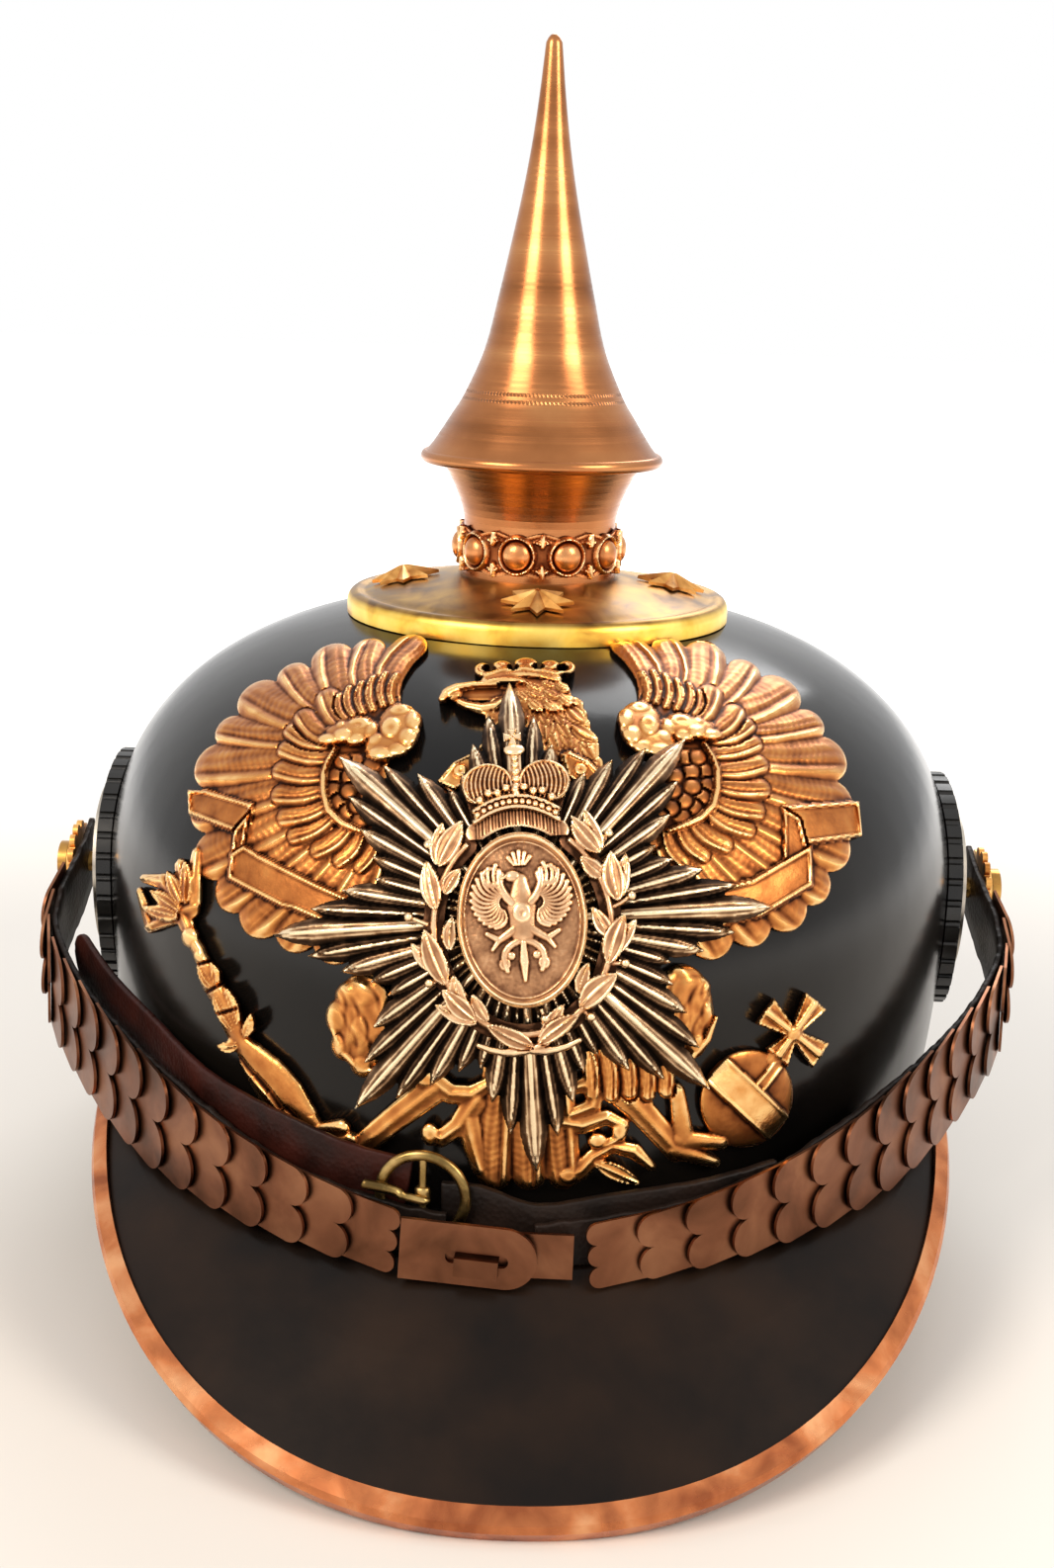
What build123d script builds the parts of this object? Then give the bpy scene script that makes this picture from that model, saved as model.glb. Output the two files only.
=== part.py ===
from build123d import *
import math
import os

# Driving sizes in millimetres. Heights are taken from the lower edge of the
# base plate, and the whole helmet is lifted at the end to stand at height zero.
overrun = 4.0
seat_gap = 0.3
thread_clearance = 0.08
bore_clearance = 0.07

# Skull: a lacquered leather shell, oval in plan and full at the shoulder.
skull_half_width = 95.6
skull_half_length = 109.0
skull_widest_drop = 60.0
skull_drop = 100.0
skull_tuck_side = 3.1
skull_tuck_front = 2.5
skull_round_share = 2.55
skull_wall = 2.6
crown_ring_side = 41.3
crown_ring_front = 41.8
crown_rise_shares = (0.0, 0.22, 0.42, 0.58, 0.7, 0.8, 0.88, 0.94, 0.98, 1.0)
vent_radius = 9.0

# Front visor: stitched leather with a folded brass edge.
visor_half_width = 90.15
visor_end_reach = 33.4
visor_tip_reach = 151.3
visor_end_drop = 92.4
visor_tip_drop = 128.8
visor_round_share = 2.21
visor_fall_share = 1.11
visor_thickness = 2.6
visor_bulge = 0.3
visor_root_drop = 97.0
visor_root_rise = 5.5
visor_root_share = 6.0
visor_end_angle = 84.0
visor_section_count = 15
trim_sheet = 0.8
trim_gap = 0.3
trim_nose = 1.1
trim_upper_leg = 3.1
trim_lower_leg = 3.6

# Rear visor: plain leather, held at its tip by the brass spine.
rear_half_width = 90.0
rear_end_reach = 32.0
rear_tip_reach = 151.35
rear_end_drop = 91.5
rear_tip_drop = 128.594
rear_round_share = 2.1
rear_fall_share = 2.0

# Rear spine: a brass strip from the base plate to the rear visor's edge.
spine_width = 9.0
spine_sheet = 0.6
spine_fold = 6.0
spine_start_drop = 0.2
spine_section_count = 16
spine_stud_upper_drop = 52.0
spine_stud_lower_drop = 86.0
spine_stud_head_radius = 2.7
spine_stud_head = 1.5
spine_stud_radius = 1.1
spine_stud_reach = 5.2
spine_nut_radius = 3.0
spine_nut_height = 1.8

# Base plate and its four star studs.
plate_radius = 43.0
plate_rim_height = 4.3
plate_sheet = 0.8
plate_edge = 1.0
plate_seat_radius = 18.4
plate_top = 8.9
plate_hole_radius = 12.0
stud_circle_radius = 30.0
stud_star_radius = 7.7
stud_star_inner = 4.3
stud_star_count = 8
stud_star_edge = 0.7
stud_star_rise = 2.3
stud_star_top_share = 0.12
stud_radius = 1.6
stud_reach = 8.0
stud_nut_radius = 4.4
stud_nut_height = 2.2

# Neck of the spike with its ring of bosses and its threaded collar.
neck_radius = 17.0
neck_foot_radius = 17.3
neck_foot_height = 1.6
neck_straight_height = 12.0
neck_top_radius = 21.8
neck_flare_share = 1.5
neck_sheet = 0.8
neck_section_count = 9
boss_band_low = 11.2
boss_band_high = 18.8
boss_band_sheet = 0.9
boss_count = 10
boss_radius = 3.3
boss_rise = 1.9
boss_ring_radius = 4.25
boss_ring_sheet = 0.7
boss_ring_rise = 0.8
boss_height = 15.0
boss_start_angle = 20.3
collar_low = 21.0
collar_high = 28.0
collar_web = 2.4
collar_hub_radius = 7.5
stud_thread_radius = 3.9

# Spike: a spun brass shell on a base disc, over a threaded stud.
spike_tip = 123.1
spike_tip_radius = 1.6
spike_solid_height = 100.6
spike_sheet = 0.9
flange_radius = 26.9
flange_low = 33.4
flange_roll = 2.2
base_disc_radius = 22.6
base_disc_low = 33.5
base_disc_height = 1.5
spike_stud_low = 20.5
spike_height_radius_shares = (
    (0.310, 0.888),
    (0.357, 0.751),
    (0.396, 0.643),
    (0.476, 0.487),
    (0.563, 0.390),
    (0.649, 0.303),
    (0.734, 0.222),
    (0.817, 0.156),
    (0.900, 0.106),
)

# Badge plane: a plane in front of the skull, leaning back, on which the eagle
# and the star are drawn inside a square. The drawings are shares of its side.
badge_square = 100.0
badge_x = -1.0
badge_y = -114.5
badge_z = -34.3
badge_lean_angle = 20.0
badge_front = 14.0
badge_depth = 72.0
eagle_angle = 2.5
star_angle = 4.9

# Eagle: a stamped gilt plate. Its reliefs are heights above the leather.
eagle_first_top = 1.6
eagle_second_top = 2.4
eagle_third_top = 3.1
feather_shares = (
    (0.24, 0.39, 0.225, 0.57, 0.075),
    (0.26, 0.40, 0.31, 0.565, 0.085),
    (0.28, 0.39, 0.395, 0.545, 0.09),
    (0.30, 0.38, 0.465, 0.505, 0.09),
    (0.31, 0.37, 0.53, 0.45, 0.095),
    (0.32, 0.35, 0.575, 0.38, 0.095),
    (0.33, 0.32, 0.60, 0.305, 0.10),
    (0.33, 0.29, 0.60, 0.215, 0.10),
    (0.32, 0.25, 0.58, 0.125, 0.095),
    (0.31, 0.22, 0.535, 0.06, 0.09),
    (0.29, 0.20, 0.48, 0.015, 0.09),
    (0.27, 0.18, 0.41, -0.015, 0.09),
    (0.25, 0.16, 0.335, -0.035, 0.09),
)
covert_reach_share = 0.62
scapular_reach_share = 0.36
covert_width_share = 0.92
wing_root_shares = ((0.14, 0.26), (0.33, 0.30), (0.28, 0.08), (0.14, 0.04))
wing_arm_shares = (
    (0.215, 0.38, 0.335, 0.345, 0.065),
    (0.335, 0.345, 0.355, 0.25, 0.03),
    (0.355, 0.25, 0.27, 0.15, 0.03),
)
ribbon_left_shares = (
    (-0.62, 0.225, -0.50, 0.185, 0.075),
    (-0.505, 0.195, -0.53, 0.12, 0.05),
    (-0.52, 0.105, -0.30, 0.025, 0.075),
)
ribbon_right_shares = (
    (0.62, 0.185, 0.50, 0.175, 0.075),
    (0.50, 0.185, 0.52, 0.11, 0.05),
    (0.51, 0.095, 0.30, 0.015, 0.075),
)
neck_shares = ((0.0, 0.20, 0.03, 0.42, 0.15), (-0.035, 0.425, 0.065, 0.43, 0.10))
beak_shares = (
    (-0.06, 0.47),
    (-0.10, 0.468),
    (-0.152, 0.432),
    (-0.136, 0.406),
    (-0.105, 0.422),
    (-0.045, 0.39),
)
crest_shares = (
    (-0.086, 0.466),
    (0.11, 0.46),
    (0.126, 0.52),
    (0.08, 0.506),
    (0.018, 0.534),
    (-0.044, 0.512),
    (-0.096, 0.532),
)
limb_shares = (
    (-0.26, -0.12, -0.30, -0.18, 0.13),
    (-0.21, -0.26, -0.31, -0.40, 0.055),
    (-0.24, -0.20, -0.20, -0.27, 0.07),
    (-0.18, -0.275, -0.11, -0.32, 0.04),
    (-0.32, -0.42, -0.39, -0.38, 0.05),
    (-0.09, -0.33, -0.155, -0.385, 0.05),
    (-0.08, -0.35, -0.095, -0.44, 0.05),
    (0.26, -0.12, 0.295, -0.17, 0.125),
    (0.17, -0.26, 0.33, -0.40, 0.055),
    (0.17, -0.22, 0.27, -0.26, 0.08),
    (0.17, -0.275, 0.11, -0.315, 0.04),
    (0.33, -0.40, 0.46, -0.42, 0.04),
    (0.09, -0.34, 0.18, -0.36, 0.05),
    (0.12, -0.36, 0.14, -0.445, 0.055),
    (0.18, -0.395, 0.245, -0.43, 0.03),
    (0.32, -0.38, 0.34, -0.30, 0.05),
)
tail_shares = ((-0.09, -0.18), (-0.065, -0.48), (0.005, -0.49), (0.075, -0.48), (0.10, -0.18))
body_half_width = 15.0
body_half_height = 24.0
sceptre_shares = (
    (-0.38, -0.395, -0.425, -0.365, 0.05),
    (-0.425, -0.365, -0.485, -0.31, 0.08),
    (-0.485, -0.31, -0.54, -0.225, 0.095),
    (-0.55, -0.20, -0.61, -0.07, 0.055),
    (-0.61, -0.07, -0.645, -0.01, 0.06),
    (-0.645, -0.01, -0.67, 0.04, 0.035),
    (-0.64, 0.04, -0.745, 0.0, 0.045),
    (-0.67, 0.04, -0.705, 0.09, 0.06),
    (-0.63, 0.05, -0.625, 0.145, 0.045),
    (-0.74, 0.005, -0.77, 0.075, 0.04),
)
orb_x = 41.4
orb_y = -34.0
orb_radius = 9.4
orb_belt = 3.6
orb_belt_angle = -36.0
cross_x = 50.7
cross_y = -21.8
cross_arm = 8.0
cross_root = 1.4
cross_end = 3.1
cross_arm_angles = (53.0, 143.0, 233.0, 323.0)
eagle_post_x = 36.0
eagle_post_y = 8.0
eagle_post_radius = 1.6
eagle_nut_radius = 5.0
eagle_nut_height = 2.4
badge_post_reach = 8.0
badge_nut_seat = 3.2

# Star: silvered rays, a wreath, an oval medallion and a crown.
star_back = 3.4
star_ray_top = 4.4
star_ridge_top = 5.2
star_centre_top = 6.0
star_reach = 45.5
star_arm_count = 8
star_step_shares = (0.7, 0.86, 1.0, 0.86, 0.7)
star_step_angle = 7.4
star_notch_share = 0.86
star_ridge_inner = 4.6
star_centre_half_width = 19.0
star_centre_half_height = 21.0
wreath_back = 6.3
wreath_top = 7.8
wreath_half_width = 17.3
wreath_half_height = 19.6
wreath_stem = 2.0
wreath_leaf_length = 6.6
wreath_leaf_width = 3.0
wreath_leaf_count = 11
wreath_open_angle = 52.0
wreath_lean_angle = 24.0
medallion_half_width = 11.4
medallion_half_height = 15.4
medallion_top = 8.6
medallion_rim = 1.3
medallion_rim_top = 9.2
arms_half_width = 3.4
arms_half_height = 5.2
arms_wing_shares = (
    (0.026, 0.03, 0.076, 0.055, 0.032),
    (0.026, 0.005, 0.078, 0.005, 0.03),
    (0.022, -0.025, 0.062, -0.06, 0.028),
)
circlet_low = 17.0
circlet_high = 20.2
circlet_half_width = 8.6
crown_lobe_radius = 5.2
crown_lobe_x = 4.6
crown_lobe_y = 24.6
crown_knob_y = 30.6
crown_knob_radius = 2.2
star_post_radius = 2.2
star_nut_radius = 6.0
star_nut_height = 2.6

# Cockades, side posts and rosettes on the hinge line of the chin scales.
hinge_y = -2.0
hinge_z = -62.0
cockade_radius = 27.0
cockade_flute_count = 36
cockade_flute_radius = 0.9
cockade_top = 3.4
cockade_ring_radius = 19.5
cockade_ring_inner = 10.0
cockade_ring_sheet = 0.7
post_radius = 2.4
post_head_radius = 4.6
post_head = 2.0
post_inner_reach = 88.0
post_nut_radius = 6.0
post_nut_height = 3.0
rosette_radius = 9.5
rosette_low = 105.3
rosette_high = 107.7
rosette_petal_count = 14
rosette_petal_radius = 1.6

# Chin scales: overlapping brass scales on a leather strap. The line runs
# along the front of the scales and is drawn in shares of the skull.
chin_line_shares = (
    (0.000, -1.086, -0.976),
    (0.416, -1.007, -0.940),
    (0.679, -0.850, -0.903),
    (0.887, -0.653, -0.852),
    (1.027, -0.479, -0.805),
    (1.119, -0.312, -0.755),
    (1.134, -0.202, -0.703),
    (1.127, -0.110, -0.661),
    (1.121, -0.018, -0.620),
    (1.121, 0.055, -0.586),
)
strap_back = 2.6
strap_thickness = 1.3
strap_margin = 3.0
left_strap_start = 14.0
right_strap_start = 4.0
strap_end_length = 8.7
strap_section_count = 31
scale_pitch = 9.4
scale_length = 14.5
scale_sheet = 0.6
scale_back = 1.6
scale_lean_angle = 6.3
scale_half_width = 10.8
scale_end_half_width = 6.5
scale_post_half_width = 7.6
scale_taper_start = 24.0
scale_taper_length = 55.0
scale_post_taper = 30.0
scale_lobe_count = 2
first_scale_lobe_count = 3
left_scales_start = 22.0
right_scales_start = 12.6
tongue_half_length = 12.5
tongue_place = 9.0
tongue_sheet = 0.8
tongue_front = 0.1
tongue_half_width = 6.0
tongue_slot_length = 11.5
tongue_slot_width = 2.4
tongue_slot_x = 1.6
tongue_slot_drop = 0.6
tongue_foot_length = 6.0
tongue_foot_width = 8.0
hook_plate_length = 23.0
hook_plate_half_width = 4.4
hook_plate_place = -1.5
hook_length = 8.0
hook_sheet = 1.2
hook_lip = 3.6

# Buckle, prong and the leather inside the scales.
buckle_x = -17.6
buckle_reach = 112.0
buckle_drop = 89.2
buckle_radius = 8.9
buckle_band = 1.7
buckle_thickness = 1.2
buckle_bar_radius = 0.7
prong_rise = 1.8
prong_length = 11.5
prong_width = 1.8
prong_thickness = 1.1
prong_sleeve_radius = 1.5
prong_sleeve_height = 2.6
tail_thickness = 1.2
tail_half_width = 6.6
tail_tip_half_width = 2.2
tail_section_count = 9
tail_line_shares = (
    (-0.214, -1.004, -0.892),
    (-0.314, -0.985, -0.878),
    (-0.418, -0.954, -0.856),
    (-0.626, -0.824, -0.823),
    (-0.790, -0.636, -0.790),
    (-0.925, -0.476, -0.755),
    (-1.029, -0.330, -0.710),
)
keeper_thickness = 1.6
keeper_half_width = 4.6
keeper_section_count = 9
keeper_line_shares = (
    (-0.148, -1.009, -0.914),
    (-0.084, -1.018, -0.914),
    (0.031, -1.030, -0.941),
    (0.188, -1.020, -0.920),
    (0.356, -0.978, -0.910),
    (0.502, -0.908, -0.904),
)

# Sweatband and silk lining inside the skull.
band_drop = 97.0
band_height = 27.0
band_wall = 1.6
band_gap = 3.0
lining_wall = 0.9
lining_drop = 84.0
lining_fold_height = 24.0
lining_draw = 6.0
lining_rise_shares = (0.0, 0.18, 0.36, 0.54, 0.72, 0.88, 1.0)
lining_top_drop = 20.0


def spaced(low, high, count):
    return [low + (high - low) * i / (count - 1) for i in range(count)]


def pole(half, ring):
    """Height of the shoulder curve's pole above the widest part of the skull."""
    return skull_widest_drop / (1 - (ring / half) ** skull_round_share) ** (1 / skull_round_share)


def skull_half(z, half, ring, tuck, grow):
    """Half axis of the skull at a height, grown outwards by a distance."""
    if z <= -skull_widest_drop:
        down = (-skull_widest_drop - z) / (skull_drop - skull_widest_drop)
        return half + grow - tuck * down**2
    up = min((z + skull_widest_drop) / (pole(half, ring) + grow), 1)
    return (half + grow) * (1 - up**skull_round_share) ** (1 / skull_round_share)


def skull_side(z, grow):
    return skull_half(z, skull_half_width, crown_ring_side, skull_tuck_side, grow)


def skull_front(z, grow):
    return skull_half(z, skull_half_length, crown_ring_front, skull_tuck_front, grow)


def skull_ring(z, grow):
    return (Pos(0, 0, z) * Ellipse(skull_side(z, grow), skull_front(z, grow))).face()


def skull_body(grow, drop=skull_drop):
    """Solid block of the skull's shape, grown outwards by a distance."""
    lift = pole(skull_half_length, crown_ring_front)
    top = skull_widest_drop * (lift + grow) / lift
    heights = [-drop, -(drop + skull_widest_drop) / 2]
    heights += [-skull_widest_drop + share * top for share in crown_rise_shares]
    return loft([skull_ring(z, grow) for z in heights])


def disc(radius, low, high):
    return Pos(0, 0, low) * extrude(Circle(radius), amount=high - low)


def outline(points):
    return make_face(Polyline(*points, close=True))


def line_strip(x0, y0, x1, y1, width):
    """Flat strip with round ends, from centre to centre."""
    length = math.hypot(x1 - x0, y1 - y0)
    turn = math.degrees(math.atan2(y1 - y0, x1 - x0))
    return Pos((x0 + x1) / 2, (y0 + y1) / 2) * Rot(0, 0, turn) * SlotCenterToCenter(length, width)


def drawn(shares):
    """Outline on the badge plane from shares of its square."""
    return outline([(x * badge_square, y * badge_square) for x, y in shares])


def strips(rows, mirrored=False):
    """Strips on the badge plane from shares of its square, with mirror images if asked."""
    shape = Sketch()
    for row in rows:
        x0, y0, x1, y1, width = [share * badge_square for share in row]
        shape += line_strip(x0, y0, x1, y1, width)
        if mirrored:
            shape += line_strip(-x0, y0, -x1, y1, width)
    return shape


def shorter(rows, reach_share):
    """The same feathers, shorter and narrower, for the rows above them."""
    short = []
    for x0, y0, x1, y1, width in rows:
        x = x0 + (x1 - x0) * reach_share
        y = y0 + (y1 - y0) * reach_share
        short.append((x0, y0, x, y, width * covert_width_share))
    return short


def badge_plane(turn):
    lean = math.radians(badge_lean_angle)
    normal = (0, -math.cos(lean), math.sin(lean))
    plane = Plane(origin=(badge_x, badge_y, badge_z), x_dir=(1, 0, 0), z_dir=normal)
    return plane.rotated((0, 0, turn))


def badge_bore(x, y, turn, radius, low, high):
    """Rod square to the badge plane, between two distances in front of it."""
    return badge_plane(turn) * Pos(x, y, low) * extrude(Circle(radius), amount=high - low)


def relief(layers, turn, back):
    """Drawings stacked on the skull, each as high as its own distance above the leather."""
    whole = Part()
    for sketch, height in layers:
        start = badge_plane(turn) * Pos(0, 0, badge_front) * sketch
        whole += extrude(start, amount=-badge_depth - badge_front) & skull_body(height)
    return whole - skull_body(back)


def badge_deep(x, y, turn, grow):
    """Distance from the badge plane back to the grown skull, at a place on the drawing."""
    plane = badge_plane(turn)
    near = 0
    far = badge_depth
    while far - near > seat_gap / badge_depth:
        middle = (near + far) / 2
        point = plane.from_local_coords(Vector(x, y, -middle))
        across = point.X / skull_side(point.Z, grow)
        along = point.Y / skull_front(point.Z, grow)
        if across**2 + along**2 < 1:
            far = middle
        else:
            near = middle
    return far


def side_rod(side, radius, inner, outer):
    """Rod along the hinge line on one side, between two distances from the middle."""
    plane = Plane(origin=(side * inner, hinge_y, hinge_z), x_dir=(0, 1, 0), z_dir=(side, 0, 0))
    return plane * extrude(Circle(radius), amount=outer - inner)


def spine_rod(drop, radius, inner, outer):
    """Rod through the back of the skull, between two distances from its surface."""
    place = (0, skull_front(-drop, 0) + inner, -drop)
    plane = Plane(origin=place, x_dir=(1, 0, 0), z_dir=(0, 1, 0))
    return plane * extrude(Circle(radius), amount=outer - inner)


def spine_drops():
    return (spine_stud_upper_drop, spine_stud_lower_drop)


def stud_places():
    return [(x * stud_circle_radius, y * stud_circle_radius) for x, y in ((0, -1), (1, 0), (0, 1), (-1, 0))]


def make_skull():
    shell = skull_body(0) - skull_body(-skull_wall, skull_drop + overrun)
    shell -= disc(vent_radius, -skull_widest_drop, overrun)
    for x, y in stud_places():
        shell -= Pos(x, y, 0) * disc(stud_radius + seat_gap, -stud_reach, overrun)
    for x in (-eagle_post_x, eagle_post_x):
        radius = eagle_post_radius + seat_gap
        shell -= badge_bore(x, eagle_post_y, eagle_angle, radius, -badge_depth, badge_front)
    shell -= badge_bore(0, 0, star_angle, star_post_radius + seat_gap, -badge_depth / 2, badge_front)
    for side in (-1, 1):
        shell -= side_rod(side, post_radius + seat_gap, post_inner_reach, rosette_high)
    for drop in spine_drops():
        shell -= spine_rod(drop, spine_stud_radius + seat_gap, -spine_stud_reach, overrun)
    return shell


def visor_station(angle, half_width, end_reach, tip_reach, round_share):
    """Place on a visor's outline, seen from above, and how far along to its tip it lies."""
    turn = math.radians(angle)
    across = math.copysign(abs(math.sin(turn)) ** (2 / round_share), turn)
    along = math.cos(turn) ** (2 / round_share)
    return half_width * across, -(end_reach + (tip_reach - end_reach) * along), along


def visor_root(x, y, angle):
    """Place on the skull's lower rim straight inwards of a place on the outline."""
    drop = visor_root_drop - visor_root_rise * abs(angle / visor_end_angle) ** visor_root_share
    reach = math.hypot(x, y)
    across = x / reach / skull_side(-drop, seat_gap)
    along = y / reach / skull_front(-drop, seat_gap)
    root_reach = 1 / math.hypot(across, along)
    return Vector(x / reach * root_reach, y / reach * root_reach, -drop)


def front_station(angle):
    x, y, along = visor_station(angle, visor_half_width, visor_end_reach, visor_tip_reach, visor_round_share)
    z = -visor_end_drop - (visor_tip_drop - visor_end_drop) * along**visor_fall_share
    return Vector(x, y, z), visor_root(x, y, angle)


def rear_station(angle):
    x, y, along = visor_station(angle, rear_half_width, rear_end_reach, rear_tip_reach, rear_round_share)
    z = -rear_end_drop - (rear_tip_drop - rear_end_drop) * (1 - (1 - along) ** rear_fall_share)
    return Vector(x, y, z), visor_root(x, y, angle)


def visor_directions(edge, root):
    """Direction from root to edge, and the direction square to it, upwards."""
    out = (edge - root).normalized()
    level = math.hypot(out.X, out.Y)
    return out, Vector(-out.X / level * out.Z, -out.Y / level * out.Z, level)


def ring_face(points):
    return Face(Wire(Polyline(*points, close=True).edges()))


def visor_section(edge, root):
    out, up = visor_directions(edge, root)
    middle = (edge + root) * 0.5 + up * visor_bulge
    down = up * visor_thickness
    plumb = Vector(0, 0, visor_thickness / up.Z)
    return ring_face((root, middle, edge, edge - down, middle - down, root - plumb))


def trim_section(edge, root):
    """Folded strip around the visor's edge: a leg above, a nose and a leg below."""
    out, up = visor_directions(edge, root)
    middle = (edge + root) * 0.5 + up * visor_bulge
    out, up = visor_directions(edge, middle)
    top = trim_gap
    low = -visor_thickness - trim_gap
    nose = trim_gap + trim_nose
    shape = (
        (-trim_upper_leg, top),
        (trim_gap, top),
        (trim_gap, low),
        (-trim_lower_leg, low),
        (-trim_lower_leg, low - trim_sheet),
        (trim_gap, low - trim_sheet),
        (nose, low),
        (nose, top),
        (trim_gap, top + trim_sheet),
        (-trim_upper_leg, top + trim_sheet),
    )
    return ring_face([edge + out * p + up * q for p, q in shape])


def make_front_visor():
    angles = spaced(-visor_end_angle, visor_end_angle, visor_section_count)
    return loft([visor_section(*front_station(angle)) for angle in angles])


def make_front_visor_trim():
    angles = spaced(-visor_end_angle, visor_end_angle, visor_section_count)
    return loft([trim_section(*front_station(angle)) for angle in angles])


def make_rear_visor():
    angles = spaced(-visor_end_angle, visor_end_angle, visor_section_count)
    return Rot(0, 0, 180) * loft([visor_section(*rear_station(angle)) for angle in angles])


def make_rear_spine():
    """Strip drawn from the side: down the skull, along the visor and under its edge."""
    inner = []
    outer = []
    length = visor_root_drop - 3 * seat_gap - spine_start_drop
    for share in spaced(0, 1, spine_section_count):
        z = -spine_start_drop - length * share**2
        rise = spine_sheet * (1 + z / skull_drop)
        inner.append((skull_front(z, seat_gap), z))
        outer.append((skull_front(z + rise, seat_gap + spine_sheet), z + rise))
    edge, root = rear_station(0)
    out, up = visor_directions(edge, root)
    middle = (edge + root) * 0.5 + up * visor_bulge
    low = visor_thickness + seat_gap
    high = low + spine_sheet
    nose = seat_gap + spine_sheet
    near = [middle + up * seat_gap, edge + up * seat_gap + out * seat_gap]
    near += [edge - up * low + out * seat_gap, edge - up * low - out * spine_fold]
    far = [edge - up * high - out * spine_fold, edge - up * high + out * nose]
    far += [edge + up * nose + out * nose, middle + up * nose]
    run = [(-p.Y, p.Z) for p in near + far]
    with BuildSketch(Plane.YZ) as side:
        with BuildLine():
            Spline(*inner)
            Polyline(*([inner[-1]] + run + [outer[-1]]))
            Spline(*outer[::-1])
            Line(outer[0], inner[0])
        make_face()
    spine = extrude(side.sketch, amount=spine_width / 2, both=True)
    for drop in spine_drops():
        spine -= spine_rod(drop, spine_stud_radius + seat_gap, -spine_stud_reach, overrun)
    return spine


def make_spine_studs():
    studs = []
    low = seat_gap + spine_sheet + seat_gap
    for drop in spine_drops():
        head = spine_rod(drop, spine_stud_head_radius, low, low + spine_stud_head)
        studs.append((head + spine_rod(drop, spine_stud_radius, -spine_stud_reach, low)).solid())
    return Compound(children=studs)


def make_spine_nuts():
    nuts = []
    high = -skull_wall - 2 * seat_gap
    for drop in spine_drops():
        nut = spine_rod(drop, spine_nut_radius, high - spine_nut_height, high)
        bore = spine_rod(drop, spine_stud_radius + thread_clearance, -spine_stud_reach - overrun, overrun)
        nuts.append((nut - bore).solid())
    return Compound(children=nuts)


def turned(points):
    """Solid turned about the helmet's upright axis from radius and height points."""
    return revolve(Plane.XZ * outline(points), Axis.Z)


def make_base_plate():
    edge_radius = plate_radius - plate_edge
    points = (
        (plate_radius, 0),
        (plate_radius, plate_rim_height - plate_edge),
        (edge_radius, plate_rim_height),
        (plate_seat_radius, plate_top),
        (plate_hole_radius, plate_top),
        (plate_hole_radius, plate_top - plate_sheet),
        (plate_seat_radius, plate_top - plate_sheet),
        (edge_radius, plate_rim_height - plate_sheet),
        (plate_radius - plate_sheet, plate_rim_height - plate_edge - plate_sheet),
        (plate_radius - plate_sheet, 0),
    )
    plate = turned(points)
    for x, y in stud_places():
        plate -= Pos(x, y, 0) * disc(stud_radius + seat_gap, -overrun, plate_top)
    return plate


def plate_slope():
    return math.atan2(plate_top - plate_rim_height, plate_radius - plate_edge - plate_seat_radius)


def plate_height(radius):
    return plate_rim_height + (plate_radius - plate_edge - radius) * math.tan(plate_slope())


def star_outline(count, outer, inner):
    corners = []
    for i in range(2 * count):
        radius = inner if i % 2 else outer
        corners.append((radius * math.cos(math.pi * i / count), radius * math.sin(math.pi * i / count)))
    return outline(corners)


def make_star_stud(x, y):
    face = star_outline(stud_star_count, stud_star_radius, stud_star_inner)
    small = scale(face, stud_star_top_share)
    low = Pos(0, 0, stud_star_edge) * face
    high = Pos(0, 0, stud_star_edge + stud_star_rise) * small
    head = extrude(face, amount=stud_star_edge) + loft([low.face(), high.face()], ruled=True)
    seat = plate_height(stud_circle_radius) + seat_gap
    head = Pos(stud_circle_radius, 0, seat) * Rot(0, math.degrees(plate_slope()), 0) * head
    head = Rot(0, 0, math.degrees(math.atan2(y, x))) * head
    return head + Pos(x, y, 0) * disc(stud_radius, -stud_reach, seat + stud_star_edge)


def make_base_star_studs():
    return Compound(children=[make_star_stud(x, y).solid() for x, y in stud_places()])


def make_stud_nuts():
    high = -skull_wall - seat_gap
    hexagon = RegularPolygon(stud_nut_radius, 6)
    nut = Pos(0, 0, high - stud_nut_height) * extrude(hexagon, amount=stud_nut_height)
    nut -= disc(stud_radius + thread_clearance, -stud_reach - overrun, overrun)
    return Compound(children=[(Pos(x, y, 0) * nut).solid() for x, y in stud_places()])


def neck_outer(z):
    """Outer radius of the neck: straight below, then flared to its top."""
    start = plate_top + neck_straight_height
    part = max(0, (z - start) / (base_disc_low - seat_gap - start))
    return neck_radius + (neck_top_radius - neck_radius) * part**neck_flare_share


def make_spike_neck():
    heights = spaced(plate_top + neck_straight_height, base_disc_low - seat_gap, neck_section_count)
    foot = plate_top + neck_foot_height
    outer = [(neck_foot_radius, plate_top), (neck_foot_radius, foot), (neck_radius, foot)]
    outer += [(neck_outer(z), z) for z in heights]
    inner = [(neck_outer(z) - neck_sheet, z) for z in heights[::-1]]
    return turned(outer + inner + [(neck_radius - neck_sheet, plate_top)])


def make_boss_band():
    low = neck_radius + seat_gap
    high = low + boss_band_sheet
    band = disc(high, boss_band_low, boss_band_high)
    frame = Plane(origin=(0, 0, boss_height), x_dir=(0, 0, -1), z_dir=(1, 0, 0))
    boss = frame * extrude(Circle(boss_ring_radius), amount=high + boss_ring_rise)
    boss -= frame * extrude(Circle(boss_ring_radius - boss_ring_sheet), amount=high + 2 * boss_ring_rise)
    boss += Pos(high + boss_rise - boss_radius, 0, boss_height) * Sphere(boss_radius)
    for i in range(boss_count):
        band += Rot(0, 0, boss_start_angle - 90 + 360 / boss_count * i) * boss
    return band - disc(low, 0, spike_tip)


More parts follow.
